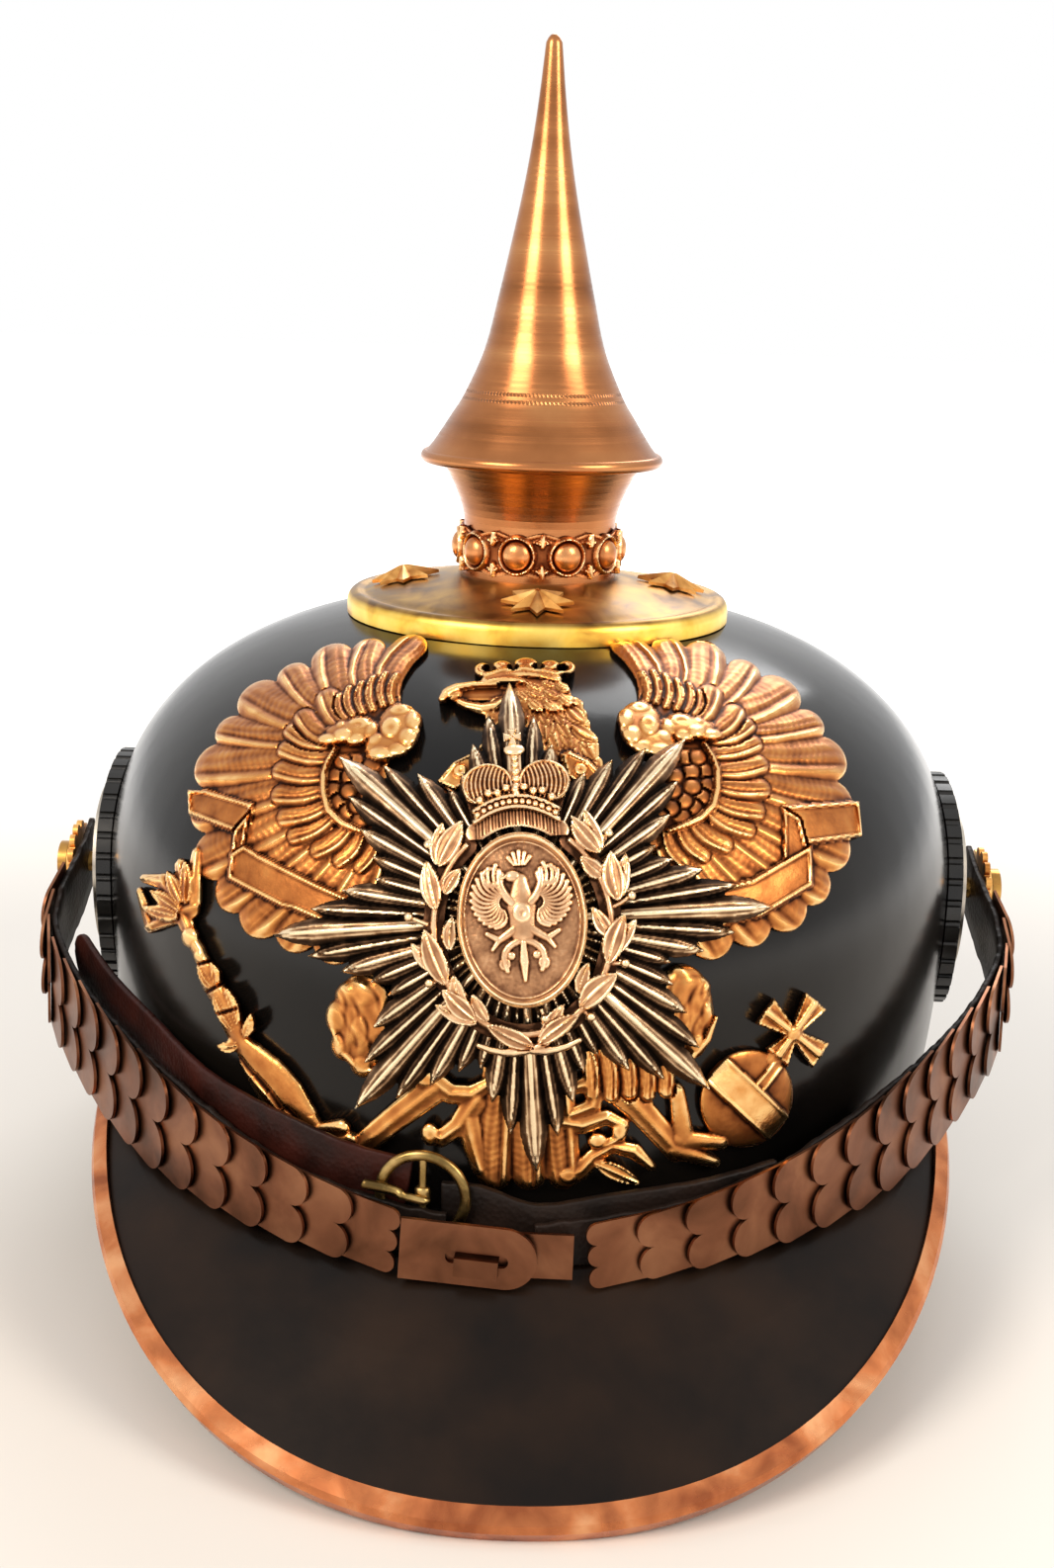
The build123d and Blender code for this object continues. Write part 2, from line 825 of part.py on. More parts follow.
def make_neck_collar():
    collar = disc(collar_hub_radius, collar_low, collar_high)
    collar += disc(neck_radius - neck_sheet - seat_gap, collar_low, collar_low + collar_web)
    return collar - disc(stud_thread_radius + thread_clearance, 0, spike_tip)


def make_spike_shell():
    """Turned shell with a rolled flange, hollow up to its solid point."""
    line = [(share * flange_radius, rise * spike_tip) for rise, share in spike_height_radius_shares]
    hollow = [(r - spike_sheet, z) for r, z in line if z < spike_solid_height]
    throat = base_disc_radius + seat_gap
    roll_top = flange_low + flange_roll
    shoulder = (flange_radius - flange_roll / 2, roll_top)
    tip = (spike_tip_radius, spike_tip - spike_tip_radius / 2)
    with BuildSketch(Plane.XZ) as sketch:
        with BuildLine():
            Spline(*([shoulder] + line + [tip]))
            Polyline(tip, (spike_tip_radius / 2, spike_tip), (0, spike_tip))
            Polyline((0, spike_tip), (0, spike_solid_height), hollow[-1])
            Spline(*(hollow[::-1] + [(throat, roll_top)]))
            Polyline((throat, roll_top), (throat, flange_low), (flange_radius - flange_roll / 2, flange_low))
            Polyline(
                (flange_radius - flange_roll / 2, flange_low),
                (flange_radius, flange_low + flange_roll / 2),
                shoulder,
            )
        make_face()
    return revolve(sketch.sketch, Axis.Z)


def make_spike_base():
    return disc(base_disc_radius, base_disc_low, base_disc_low + base_disc_height)


def make_spike_stud():
    return disc(stud_thread_radius, spike_stud_low, base_disc_low - seat_gap)


def orb_shape():
    return Pos(orb_x, orb_y) * Circle(orb_radius)


def cross_shape():
    shape = Sketch()
    arm = outline(((0, -cross_root), (cross_arm, -cross_end), (cross_arm, cross_end), (0, cross_root)))
    for angle in cross_arm_angles:
        shape += Pos(cross_x, cross_y) * Rot(0, 0, angle) * arm
    return shape


def make_eagle_plate():
    body = Ellipse(body_half_width, body_half_height) + strips(neck_shares)
    rods = strips(limb_shares) + strips(sceptre_shares) + orb_shape()
    ribbons = strips(ribbon_left_shares) + strips(ribbon_right_shares)
    roots = drawn(wing_root_shares) + mirror(drawn(wing_root_shares), Plane.YZ)
    first = strips(feather_shares, True) + roots + body + rods + ribbons
    first += drawn(beak_shares) + drawn(crest_shares) + drawn(tail_shares) + cross_shape()
    second = strips(shorter(feather_shares, covert_reach_share), True) + roots + body + rods + ribbons
    third = strips(shorter(feather_shares, scapular_reach_share), True) + strips(wing_arm_shares, True)
    third += Ellipse(body_half_width, body_half_height) + drawn(crest_shares)
    belt = Pos(orb_x, orb_y) * Rot(0, 0, orb_belt_angle) * Rectangle(3 * orb_radius, orb_belt)
    third += orb_shape() & belt
    layers = ((first, eagle_first_top), (second, eagle_second_top), (third, eagle_third_top))
    plate = relief(layers, eagle_angle, seat_gap)
    plate -= disc(plate_radius + seat_gap, -overrun, plate_top)
    return plate - badge_bore(0, 0, star_angle, star_post_radius + seat_gap, -badge_depth / 2, badge_front)


def badge_post(x, y, turn, radius, front):
    """Threaded post from the back of a badge piece to the inside of the skull."""
    deep = badge_deep(x, y, turn, 0)
    post = badge_bore(x, y, turn, radius, -deep - badge_post_reach, badge_front)
    return (post & skull_body(front)).solid()


def badge_nut(x, y, turn, radius, nut_radius, height):
    deep = badge_deep(x, y, turn, -skull_wall) + badge_nut_seat
    nut = badge_bore(x, y, turn, nut_radius, -deep - height, -deep)
    return (nut - badge_bore(x, y, turn, radius + thread_clearance, -badge_depth, badge_front)).solid()


def make_eagle_posts():
    places = (-eagle_post_x, eagle_post_x)
    posts = [badge_post(x, eagle_post_y, eagle_angle, eagle_post_radius, seat_gap / 2) for x in places]
    return Compound(children=posts)


def make_eagle_nuts():
    sizes = (eagle_angle, eagle_post_radius, eagle_nut_radius, eagle_nut_height)
    places = (-eagle_post_x, eagle_post_x)
    return Compound(children=[badge_nut(x, eagle_post_y, *sizes) for x in places])


def rays_outline():
    """Outline of the rays: in each arm a long one between shorter ones, with notches between."""
    points = []
    last_step = len(star_step_shares) // 2
    for arm in range(star_arm_count):
        for step, share in enumerate(star_step_shares):
            angle = math.radians(90 + 360 / star_arm_count * arm + (step - last_step) * star_step_angle)
            notch_angle = angle + math.radians(star_step_angle) / 2
            next_share = (star_step_shares + star_step_shares[:1])[step + 1]
            notch = star_reach * min(share, next_share) * star_notch_share
            reach = star_reach * share
            points.append((reach * math.cos(angle), reach * math.sin(angle)))
            points.append((notch * math.cos(notch_angle), notch * math.sin(notch_angle)))
    return outline(points)


def make_star_rays():
    ridges = Rot(0, 0, 90) * star_outline(star_arm_count, star_reach, star_ridge_inner)
    centre = Ellipse(star_centre_half_width, star_centre_half_height)
    layers = ((rays_outline(), star_ray_top), (ridges, star_ridge_top), (centre, star_centre_top))
    return relief(layers, star_angle, star_back)


def crown_shape(grow):
    half = circlet_half_width + grow
    low = circlet_low - grow
    shape = outline(((-half, low), (half, low), (half, circlet_high), (-half, circlet_high)))
    for x in (-crown_lobe_x, crown_lobe_x):
        shape += Pos(x, crown_lobe_y) * Circle(crown_lobe_radius + grow)
    shape += Pos(0, crown_knob_y) * Circle(crown_knob_radius + grow)
    return shape + line_strip(0, circlet_high, 0, crown_knob_y, crown_knob_radius)


def make_star_wreath():
    """Two sprays of leaves on stems that meet below and stop short of the crown."""
    half_stem = wreath_stem / 2
    shape = Sketch()
    for side in (-1, 1):
        last = None
        for turn in spaced(-90, wreath_open_angle, wreath_leaf_count):
            x = side * wreath_half_width * math.cos(math.radians(turn))
            y = wreath_half_height * math.sin(math.radians(turn))
            if last:
                shape += line_strip(last[0], last[1], x, y, 2 * half_stem)
            last = (x, y)
            for lean in (-wreath_lean_angle, wreath_lean_angle):
                along = math.radians(turn + 90 + lean)
                dx = side * wreath_leaf_length / 2 * math.cos(along)
                dy = wreath_leaf_length / 2 * math.sin(along)
                shape += line_strip(x, y, x + dx, y + dy, wreath_leaf_width)
    shape -= Ellipse(medallion_half_width + seat_gap, medallion_half_height + seat_gap)
    shape -= crown_shape(seat_gap)
    return relief(((shape, wreath_top),), star_angle, wreath_back)


def make_star_medallion():
    face = Ellipse(medallion_half_width, medallion_half_height)
    rim = face - Ellipse(medallion_half_width - medallion_rim, medallion_half_height - medallion_rim)
    arms = Ellipse(arms_half_width, arms_half_height) + strips(arms_wing_shares, True)
    layers = ((face, medallion_top), (rim, medallion_rim_top), (arms, medallion_rim_top))
    return relief(layers, star_angle, wreath_back)


def make_star_crown():
    return relief(((crown_shape(0), wreath_top + seat_gap),), star_angle, wreath_back)


def make_star_post():
    return badge_post(0, 0, star_angle, star_post_radius, star_back - seat_gap / 2)


def make_star_nut():
    return badge_nut(0, 0, star_angle, star_post_radius, star_nut_radius, star_nut_height)


def side_prism(side, sketch):
    """Prism along the hinge line from a drawing on the side of the helmet."""
    plane = Plane(origin=(side * post_inner_reach, hinge_y, hinge_z), x_dir=(0, 1, 0), z_dir=(side, 0, 0))
    return extrude(plane * sketch, amount=rosette_high - post_inner_reach)


def make_cockade(side):
    shape = Circle(cockade_radius)
    for i in range(cockade_flute_count):
        turn = 360 / cockade_flute_count * i
        shape -= Rot(0, 0, turn) * Pos(cockade_radius, 0) * Circle(cockade_flute_radius)
    cockade = (side_prism(side, shape) & skull_body(cockade_top)) - skull_body(seat_gap)
    return cockade - side_rod(side, post_radius + seat_gap, post_inner_reach, rosette_high)


def make_cockade_ring(side):
    shape = Circle(cockade_ring_radius) - Circle(cockade_ring_inner)
    low = cockade_top + seat_gap
    return (side_prism(side, shape) & skull_body(low + cockade_ring_sheet)) - skull_body(low)


def make_rosette(side):
    reach = rosette_radius - rosette_petal_radius
    shape = Circle(reach)
    for i in range(rosette_petal_count):
        shape += Rot(0, 0, 360 / rosette_petal_count * i) * Pos(reach, 0) * Circle(rosette_petal_radius)
    plane = Plane(origin=(side * rosette_low, hinge_y, hinge_z), x_dir=(0, 1, 0), z_dir=(side, 0, 0))
    height = rosette_high - rosette_low
    flower = extrude(plane * shape, amount=height / 2)
    flower += plane * extrude(Circle(reach * 2 / 3), amount=height)
    return flower - side_rod(side, post_radius + bore_clearance, post_inner_reach, rosette_high + overrun)


def make_side_post(side):
    low = rosette_high + seat_gap
    head = side_rod(side, post_head_radius, low, low + post_head)
    return head + side_rod(side, post_radius, post_inner_reach, low)


def make_side_post_nuts():
    nuts = []
    high = skull_side(hinge_z, -skull_wall) - seat_gap
    for side in (-1, 1):
        nut = side_rod(side, post_nut_radius, high - post_nut_height, high)
        bore = side_rod(side, post_radius + thread_clearance, post_inner_reach - overrun, high + overrun)
        nuts.append((nut - bore).solid())
    return Compound(children=nuts)


def skull_points(rows, side=1):
    """Points from shares of the skull's half width, half length and drop."""
    return [(side * x * skull_half_width, y * skull_half_length, z * skull_drop) for x, y, z in rows]


def chin_curve(side):
    points = [Vector(*point) for point in skull_points(chin_line_shares, side)]
    return Spline(*points, tangents=((side, 0, 0), points[-1] - points[-2]))


def curve_plane(curve, share):
    """Plane on a curve: X along it, Z away from the helmet, Y across the strap."""
    place = curve.position_at(share)
    along = curve.tangent_at(share)
    across = Vector(place.X, place.Y, 0).cross(along).normalized()
    return Plane(origin=place, x_dir=along, z_dir=along.cross(across))


def band_section(curve, share, half, thickness, offset):
    frame = curve_plane(curve, share)
    return (frame * Pos(0, 0, offset) * Rot(0, 90, 0) * Rectangle(thickness, 2 * half)).face()


def chin_half_width(distance, total):
    """Half the height of the scales at a distance from the middle of the chin."""
    grown = min(max(distance - scale_taper_start, 0) / scale_taper_length, 1)
    left = max(0, 1 - (total - distance) / scale_post_taper)
    wide = scale_end_half_width + (scale_half_width - scale_end_half_width) * grown
    return wide - (scale_half_width - scale_post_half_width) * left


def make_strap(side, start):
    curve = chin_curve(side)
    total = curve.length
    offset = -strap_back - strap_thickness / 2
    sections = []
    for share in spaced(start / total, 1, strap_section_count):
        half = chin_half_width(share * total, total) - strap_margin
        sections.append(band_section(curve, share, half, strap_thickness, offset))
    return loft(sections) - side_rod(side, post_radius + seat_gap, post_inner_reach, rosette_high + overrun)


def scale_outline(half, lobe_count):
    """Scale with a straight back and a lobed free end at minus X."""
    lobe = half / lobe_count
    start = lobe - scale_length / 2
    body = Rectangle(scale_length - lobe, 2 * half, align=(Align.MIN, Align.CENTER))
    shape = Sketch() + Pos(start, 0) * body
    for i in range(lobe_count):
        shape += Pos(start, lobe * (2 * i + 1) - half) * Circle(lobe)
    return shape


def make_scales(side, start):
    curve = chin_curve(side)
    total = curve.length
    room = total - strap_end_length - rosette_radius - seat_gap - start
    plates = []
    for i in range(int((room - scale_length) / scale_pitch) + 1):
        middle = start + scale_pitch * i + scale_length / 2
        half = chin_half_width(middle - scale_length / 2, total)
        lobe_count = scale_lobe_count if i else first_scale_lobe_count
        plate = extrude(scale_outline(half, lobe_count), amount=scale_sheet)
        plate = Pos(0, 0, -scale_back) * Rot(0, scale_lean_angle, 0) * plate
        plates.append((curve_plane(curve, middle / total) * plate).solid())
    return Compound(children=plates)


def chin_plane(distance):
    """Plane on the front of the chin scales at a distance to the right of the middle."""
    side = 1 if distance >= 0 else -1
    curve = chin_curve(side)
    frame = curve_plane(curve, abs(distance) / curve.length)
    return Plane(origin=frame.origin, x_dir=frame.x_dir * side, z_dir=frame.z_dir)


def make_tongue_plate():
    tip = tongue_half_length - tongue_half_width
    shape = line_strip(-tongue_half_length, 0, tip, 0, 2 * tongue_half_width)
    shape += Rectangle(tongue_half_length, 2 * tongue_half_width, align=(Align.MAX, Align.CENTER))
    shape &= Rectangle(2 * tongue_half_length, 2 * tongue_half_width)
    shape -= Pos(tongue_slot_x, -tongue_slot_drop) * SlotOverall(tongue_slot_length, tongue_slot_width)
    plate = Pos(0, 0, -tongue_front - tongue_sheet) * extrude(shape, amount=tongue_sheet)
    foot = Rectangle(tongue_foot_length, tongue_foot_width, align=(Align.MIN, Align.CENTER))
    low = seat_gap - strap_back
    foot = Pos(-tongue_half_length, 0, low) * extrude(foot, amount=-tongue_front - tongue_sheet - low)
    return chin_plane(-tongue_place) * (plate + foot)


def make_hook_plate():
    """Plate riveted on the right strap, with a hook that stands through the tongue's slot."""
    low = seat_gap - strap_back
    plate = extrude(Rectangle(hook_plate_length, 2 * hook_plate_half_width), amount=tongue_sheet)
    plate = chin_plane(hook_plate_place) * Pos(0, 0, low) * plate
    lip_low = seat_gap - tongue_front
    foot = low + tongue_sheet / 2
    stem = Rectangle(hook_length, hook_sheet)
    stem = Pos(0, 0, foot) * extrude(stem, amount=lip_low + hook_sheet - foot)
    lip = Rectangle(hook_length, hook_lip, align=(Align.CENTER, Align.MAX))
    lip = Pos(0, hook_sheet / 2, lip_low) * extrude(lip, amount=hook_sheet)
    hook = chin_plane(-tongue_place) * Pos(tongue_slot_x, -tongue_slot_drop, 0) * (stem + lip)
    return plate + hook


def buckle_plane():
    y = -math.sqrt(buckle_reach**2 - buckle_x**2)
    along = Vector(-y, buckle_x, 0).normalized()
    return Plane(origin=(buckle_x, y, -buckle_drop), x_dir=along, z_dir=(buckle_x, y, 0))


def make_buckle_frame():
    ring = extrude(Circle(buckle_radius) - Circle(buckle_radius - buckle_band), amount=buckle_thickness)
    half = buckle_radius - buckle_band / 2
    bar = Rot(-90, 0, 0) * extrude(Circle(buckle_bar_radius), amount=2 * half)
    bar = Pos(0, -half, buckle_thickness / 2) * bar
    return buckle_plane() * (ring + bar)


def make_buckle_prong():
    """Flat tongue on a sleeve that turns on the buckle's bar."""
    sleeve = Rot(-90, 0, 0) * extrude(Circle(prong_sleeve_radius), amount=prong_sleeve_height)
    sleeve = Pos(0, prong_rise - prong_sleeve_height / 2, buckle_thickness / 2) * sleeve
    blade = Rectangle(prong_length, prong_width, align=(Align.MAX, Align.CENTER))
    blade = Pos(0, prong_rise, buckle_thickness + seat_gap) * extrude(blade, amount=prong_thickness)
    neck = Rectangle(2 * prong_sleeve_radius, prong_width)
    neck = extrude(neck, amount=buckle_thickness / 2 + seat_gap + prong_thickness)
    neck = Pos(0, prong_rise, buckle_thickness / 2) * neck
    bore = Pos(0, -buckle_radius, buckle_thickness / 2) * Rot(-90, 0, 0)
    bore = bore * extrude(Circle(buckle_bar_radius + bore_clearance), amount=2 * buckle_radius)
    return buckle_plane() * (sleeve + blade + neck - bore)


def make_strap_tail():
    curve = Spline(*skull_points(tail_line_shares))
    sections = []
    for share in spaced(0, 1, tail_section_count):
        half = tail_half_width if share < 1 else tail_tip_half_width
        sections.append(band_section(curve, share, half, tail_thickness, 0))
    return loft(sections)


def make_buckle_strap():
    curve = Spline(*skull_points(keeper_line_shares))
    shares = spaced(0, 1, keeper_section_count)
    return loft([band_section(curve, share, keeper_half_width, keeper_thickness, 0) for share in shares])


def make_sweatband():
    outer = -skull_wall - band_gap
    tall = [-band_drop, -band_drop + band_height / 2, -band_drop + band_height]
    band = loft([skull_ring(z, outer) for z in tall])
    low = [tall[0] - overrun, tall[1], tall[2] + overrun]
    return band - loft([skull_ring(z, outer - band_wall) for z in low])


def lining_body(inset, extra):
    """Block of the lining's shape: close to the sweatband below, drawn in above."""
    rings = []
    for share in lining_rise_shares:
        z = -lining_drop + share * (lining_drop - lining_top_drop)
        drawn_in = lining_draw * min(1, (z + lining_drop) / lining_fold_height)
        grow = -skull_wall - band_gap - band_wall - seat_gap - drawn_in - inset
        if share in (0, 1):
            z += extra * (2 * share - 1)
        rings.append(skull_ring(z, grow))
    return loft(rings)


def make_silk_lining():
    return lining_body(0, 0) - lining_body(lining_wall, overrun)


def pieces():
    """Every piece of the helmet under its name."""
    made = {
        "skull": make_skull(),
        "front_visor": make_front_visor(),
        "front_visor_trim": make_front_visor_trim(),
        "rear_visor": make_rear_visor(),
        "rear_spine": make_rear_spine(),
        "spine_studs": make_spine_studs(),
        "spine_nuts": make_spine_nuts(),
        "base_plate": make_base_plate(),
        "base_star_studs": make_base_star_studs(),
        "stud_nuts": make_stud_nuts(),
        "spike_neck": make_spike_neck(),
        "boss_band": make_boss_band(),
        "neck_collar": make_neck_collar(),
        "spike_shell": make_spike_shell(),
        "spike_base": make_spike_base(),
        "spike_stud": make_spike_stud(),
        "eagle_plate": make_eagle_plate(),
        "eagle_posts": make_eagle_posts(),
        "eagle_nuts": make_eagle_nuts(),
        "star_rays": make_star_rays(),
        "star_wreath": make_star_wreath(),
        "star_medallion": make_star_medallion(),
        "star_crown": make_star_crown(),
        "star_post": make_star_post(),
        "star_nut": make_star_nut(),
        "side_post_nuts": make_side_post_nuts(),
        "left_scales": make_scales(-1, left_scales_start),
        "right_scales": make_scales(1, right_scales_start),
        "left_strap": make_strap(-1, left_strap_start),
        "right_strap": make_strap(1, right_strap_start),
        "left_tongue_plate": make_tongue_plate(),
        "right_hook_plate": make_hook_plate(),
        "buckle_frame": make_buckle_frame(),
        "buckle_prong": make_buckle_prong(),
        "buckle_strap": make_buckle_strap(),
        "strap_tail": make_strap_tail(),
        "sweatband": make_sweatband(),
        "silk_lining": make_silk_lining(),
    }
    for name, side in (("left", -1), ("right", 1)):
        made[name + "_cockade"] = make_cockade(side)
        made[name + "_cockade_ring"] = make_cockade_ring(side)
        made[name + "_rosette"] = make_rosette(side)
        made[name + "_side_post"] = make_side_post(side)
    return made


os.makedirs("parts", exist_ok=True)
helmet = pieces()
lift = -min(helmet[name].bounding_box().min.Z for name in ("front_visor_trim", "rear_spine"))
for name, piece in helmet.items():
    export_step(Pos(0, 0, lift) * piece, os.path.join("parts", name + ".step"))
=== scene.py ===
import math

import bpy
import numpy as np
from mathutils import Matrix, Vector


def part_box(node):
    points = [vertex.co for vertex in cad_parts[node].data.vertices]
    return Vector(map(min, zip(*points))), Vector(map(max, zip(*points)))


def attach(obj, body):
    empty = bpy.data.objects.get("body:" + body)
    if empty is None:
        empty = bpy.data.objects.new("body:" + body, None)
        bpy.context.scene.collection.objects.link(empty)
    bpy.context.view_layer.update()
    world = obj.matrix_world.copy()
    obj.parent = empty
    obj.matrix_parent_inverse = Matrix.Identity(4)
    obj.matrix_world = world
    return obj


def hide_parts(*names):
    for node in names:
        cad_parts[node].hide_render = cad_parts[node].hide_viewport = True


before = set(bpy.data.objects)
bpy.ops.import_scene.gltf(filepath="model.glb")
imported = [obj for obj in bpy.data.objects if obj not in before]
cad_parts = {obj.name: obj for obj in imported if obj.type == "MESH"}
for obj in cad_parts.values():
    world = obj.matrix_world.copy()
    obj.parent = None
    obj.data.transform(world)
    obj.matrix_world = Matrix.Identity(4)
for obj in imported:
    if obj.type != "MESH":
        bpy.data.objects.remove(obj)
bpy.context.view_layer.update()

# The skull of the helmet: one piece of cowhide, wetted, pressed over a mould,
# blackened and lacquered. The lacquer is glossy and almost even, with faint
# waves of the hide under it.
MM = 0.001
plate_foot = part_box("base_plate")[0].z / MM
skull_half_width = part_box("skull")[1].x / MM
skull_half_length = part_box("skull")[1].y / MM
skull_widest_drop = 60.0
skull_drop = 100.0
skull_round_share = 2.55
crown_ring_side = 41.3
crown_ring_front = 41.8
skull_tuck_side = 3.1
skull_tuck_front = 2.5
skull_wall = 2.6
least = 0.001


def skull_half(z, half, ring, tuck, grow):
    """Half axis of the skull at heights above its crown, grown outwards by distances."""
    pole = skull_widest_drop / (1 - (ring / half) ** skull_round_share) ** (1 / skull_round_share)
    up = np.clip((z + skull_widest_drop) / (pole + grow), 0, 1)
    above = (half + grow) * (1 - up**skull_round_share) ** (1 / skull_round_share)
    down = np.clip((-skull_widest_drop - z) / (skull_drop - skull_widest_drop), 0, None)
    return np.maximum(np.where(z > -skull_widest_drop, above, half + grow - tuck * down**2), least)


def skull_halves(z, grow):
    """Both half axes of the skull at heights, to the side and to the front."""
    side = skull_half(z, skull_half_width, crown_ring_side, skull_tuck_side, grow)
    return side, skull_half(z, skull_half_length, crown_ring_front, skull_tuck_front, grow)


def on_skull(places, direction, grow):
    """Slides places along a direction until they meet the skull, grown by distances."""
    near = np.zeros(len(places))
    far = np.full(len(places), skull_half_width)
    for _ in range(24):
        middle = (near + far) / 2
        x, y, z = (places + direction * middle[:, None]).T
        side, front = skull_halves(z, grow)
        inside = (x / side) ** 2 + (y / front) ** 2 < 1
        far = np.where(inside, middle, far)
        near = np.where(inside, near, middle)
    return places + direction * far[:, None]


def linear(colour):
    """The linear colour of an sRGB hex value."""
    parts = [int(colour[i : i + 2], 16) / 255 for i in (1, 3, 5)]
    return [c / 12.92 if c <= 0.04045 else ((c + 0.055) / 1.055) ** 2.4 for c in parts] + [1.0]


def add_node(tree, kind, inputs=None, stops=(), **settings):
    """Adds a node with its settings, its ramp's colours, its values and its links.

    A node among the inputs stands for its own first output.
    """
    node = tree.nodes.new("ShaderNode" + kind)
    for name, value in settings.items():
        setattr(node, name, value)
    while stops and len(node.color_ramp.elements) < len(stops):
        node.color_ramp.elements.new(0.5)
    for i, (place, colour) in enumerate(stops):
        node.color_ramp.elements[i].position = place
        node.color_ramp.elements[i].color = linear(colour)
    for socket, value in (inputs or {}).items():
        if isinstance(value, bpy.types.Node):
            value = value.outputs[0]
        if isinstance(value, bpy.types.NodeSocket):
            tree.links.new(value, node.inputs[socket])
        else:
            node.inputs[socket].default_value = value
    return node


def start_material(name, **values):
    """A new material with plain values on its shader, and the places for its patterns."""
    material = bpy.data.materials.new(name)
    material.use_nodes = True
    tree = material.node_tree
    for socket, value in values.items():
        tree.nodes["Principled BSDF"].inputs[socket.replace("_", " ")].default_value = value
    return material, tree, add_node(tree, "TexCoord").outputs["Object"]


def finish_material(material, **sources):
    """Links a material's patterns to its shader: nodes by their first output, or sockets."""
    tree = material.node_tree
    for socket, source in sources.items():
        if isinstance(source, bpy.types.Node):
            source = source.outputs[0]
        tree.links.new(source, tree.nodes["Principled BSDF"].inputs[socket.replace("_", " ")])
    return material


def lacquered_leather(name, tones, patch, gloss, grain, depth, shine):
    """Leather under varnish: uneven colour and gloss, and the waves of the hide, in millimetres."""
    material, tree, place = start_material(name, Metallic=0.0, IOR=1.5, Specular_IOR_Level=shine)
    cloud = add_node(tree, "TexNoise", {"Vector": place, "Scale": 1 / (patch * MM), "Detail": 4.0})
    tone = add_node(tree, "ValToRGB", {"Fac": cloud}, ((0.36, tones[0]), (0.66, tones[1])))
    range_inputs = {
        "Value": cloud, "From Min": 0.3, "From Max": 0.7, "To Min": gloss[0], "To Max": gloss[1],
    }
    rough = add_node(tree, "MapRange", range_inputs)
    hide = add_node(tree, "TexNoise", {"Vector": place, "Scale": 1 / (grain * MM), "Detail": 5.0})
    waves = add_node(tree, "Bump", {"Height": hide, "Distance": depth * MM, "Strength": 1.0})
    return finish_material(material, Base_Color=tone, Roughness=rough, Normal=waves)


def dress(name, material):
    """Gives a solid of the frame its finish."""
    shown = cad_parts[name]
    shown.data.materials.clear()
    shown.data.materials.append(material)


# Lacquered cowhide: black with the deep gloss of many coats of varnish, and
# a little brown where they have thinned.
lacquer = lacquered_leather(
    "lacquered_leather", ("#080707", "#13100d"), 42, (0.14, 0.24), 11, 0.05, 0.24,
)
dress("skull", lacquer)

# The sweatband: a strip of soft brown sheepskin sewn round inside the lower
# edge of the skull, where the wearer's head rests. Its lower edge is turned
# over, and a row of stitches holds it.
band_drop = 97.0
band_height = 27.0
band_gap = 3.0
band_wall = 1.6
band_reach = 100.0
band_wave = 0.15
band_rows = (
    (0.0, 0.0), (0.0, 0.9), (0.03, 1.5), (0.08, 1.7), (0.14, 1.35), (0.3, 1.6), (0.6, 1.6),
    (0.9, 1.3), (1.0, 0.9), (1.0, 0.0),
)
stitch_pitch = 4.2
stitch_rise = 0.35
stitch_shares = (0.13, 0.2)


def make_piece(name, points, faces, material, body, nodes, sharp=None):
    """A smooth piece of places in millimetres above the skull's crown, with what carries it."""
    mesh = bpy.data.meshes.new(name)
    mesh.from_pydata(((np.asarray(points) + (0, 0, plate_foot)) * MM).tolist(), [], faces)
    mesh.shade_smooth()
    if sharp:
        mesh.set_sharp_from_angle(angle=math.radians(sharp))
    mesh.materials.append(material)
    piece = bpy.data.objects.new(name, mesh)
    bpy.context.scene.collection.objects.link(piece)
    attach(piece, body)
    if nodes:
        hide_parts(*nodes)
    return piece


def tube_faces(rings, size, closed):
    """Faces between rings of places, which join end to end or have a cap on each end."""
    faces = []
    for i in range(rings if closed else rings - 1):
        for j in range(size):
            down, right = (i + 1) % rings, (j + 1) % size
            faces.append((i * size + j, i * size + right, down * size + right, down * size + j))
    if not closed:
        faces += [tuple(range(size))[::-1], tuple(range((rings - 1) * size, rings * size))]
    return faces


def inside_ring(turns, z, grow, inward):
    """Places round the skull grown by distances, moved inwards."""
    side, front = skull_halves(z, grow)
    across, along = (side - inward) * np.cos(turns), (front - inward) * np.sin(turns)
    return np.stack((across, along, z), 1)


def soft_leather(name, tones, patch, grain, depth, roughness):
    """Unvarnished leather: uneven brown with a fine grain, in millimetres."""
    material, tree, place = start_material(
        name, Metallic=0.0, Roughness=roughness, Specular_IOR_Level=0.16,
    )
    cloud = add_node(tree, "TexNoise", {"Vector": place, "Scale": 1 / (patch * MM), "Detail": 5.0})
    tone = add_node(tree, "ValToRGB", {"Fac": cloud}, ((0.33, tones[0]), (0.67, tones[1])))
    cells = add_node(tree, "TexVoronoi", {"Vector": place, "Scale": 1 / (grain * MM)})
    skin = add_node(tree, "Bump", {"Height": cells, "Distance": depth * MM, "Strength": 1.0})
    return finish_material(material, Base_Color=tone, Normal=skin)


band_brown = soft_leather("sheepskin_sweatband", ("#6b4224", "#9a6a40"), 18, 1.3, 0.08, 0.62)
band_turns = np.linspace(0, 2 * math.pi, 960, endpoint=False)
band_points = []
for share, inward in band_rows:
    z = -band_drop + share * band_height + 0 * band_turns
    on_thread = np.cos(band_turns * 2 * math.pi * band_reach / stitch_pitch) > 0.2
    sewn = stitch_rise * (stitch_shares[0] < share < stitch_shares[1]) * on_thread
    wave = band_wave * np.sin(9 * band_turns + 5 * share)
    in_reach = inward + (sewn + wave) * (inward > 1)
    band_points.append(inside_ring(band_turns, z, -skull_wall - band_gap, in_reach))
make_piece(
    "sewn_sweatband", np.concatenate(band_points),
    tube_faces(len(band_rows), len(band_turns), True),
    band_brown, "root", ["sweatband"],
)

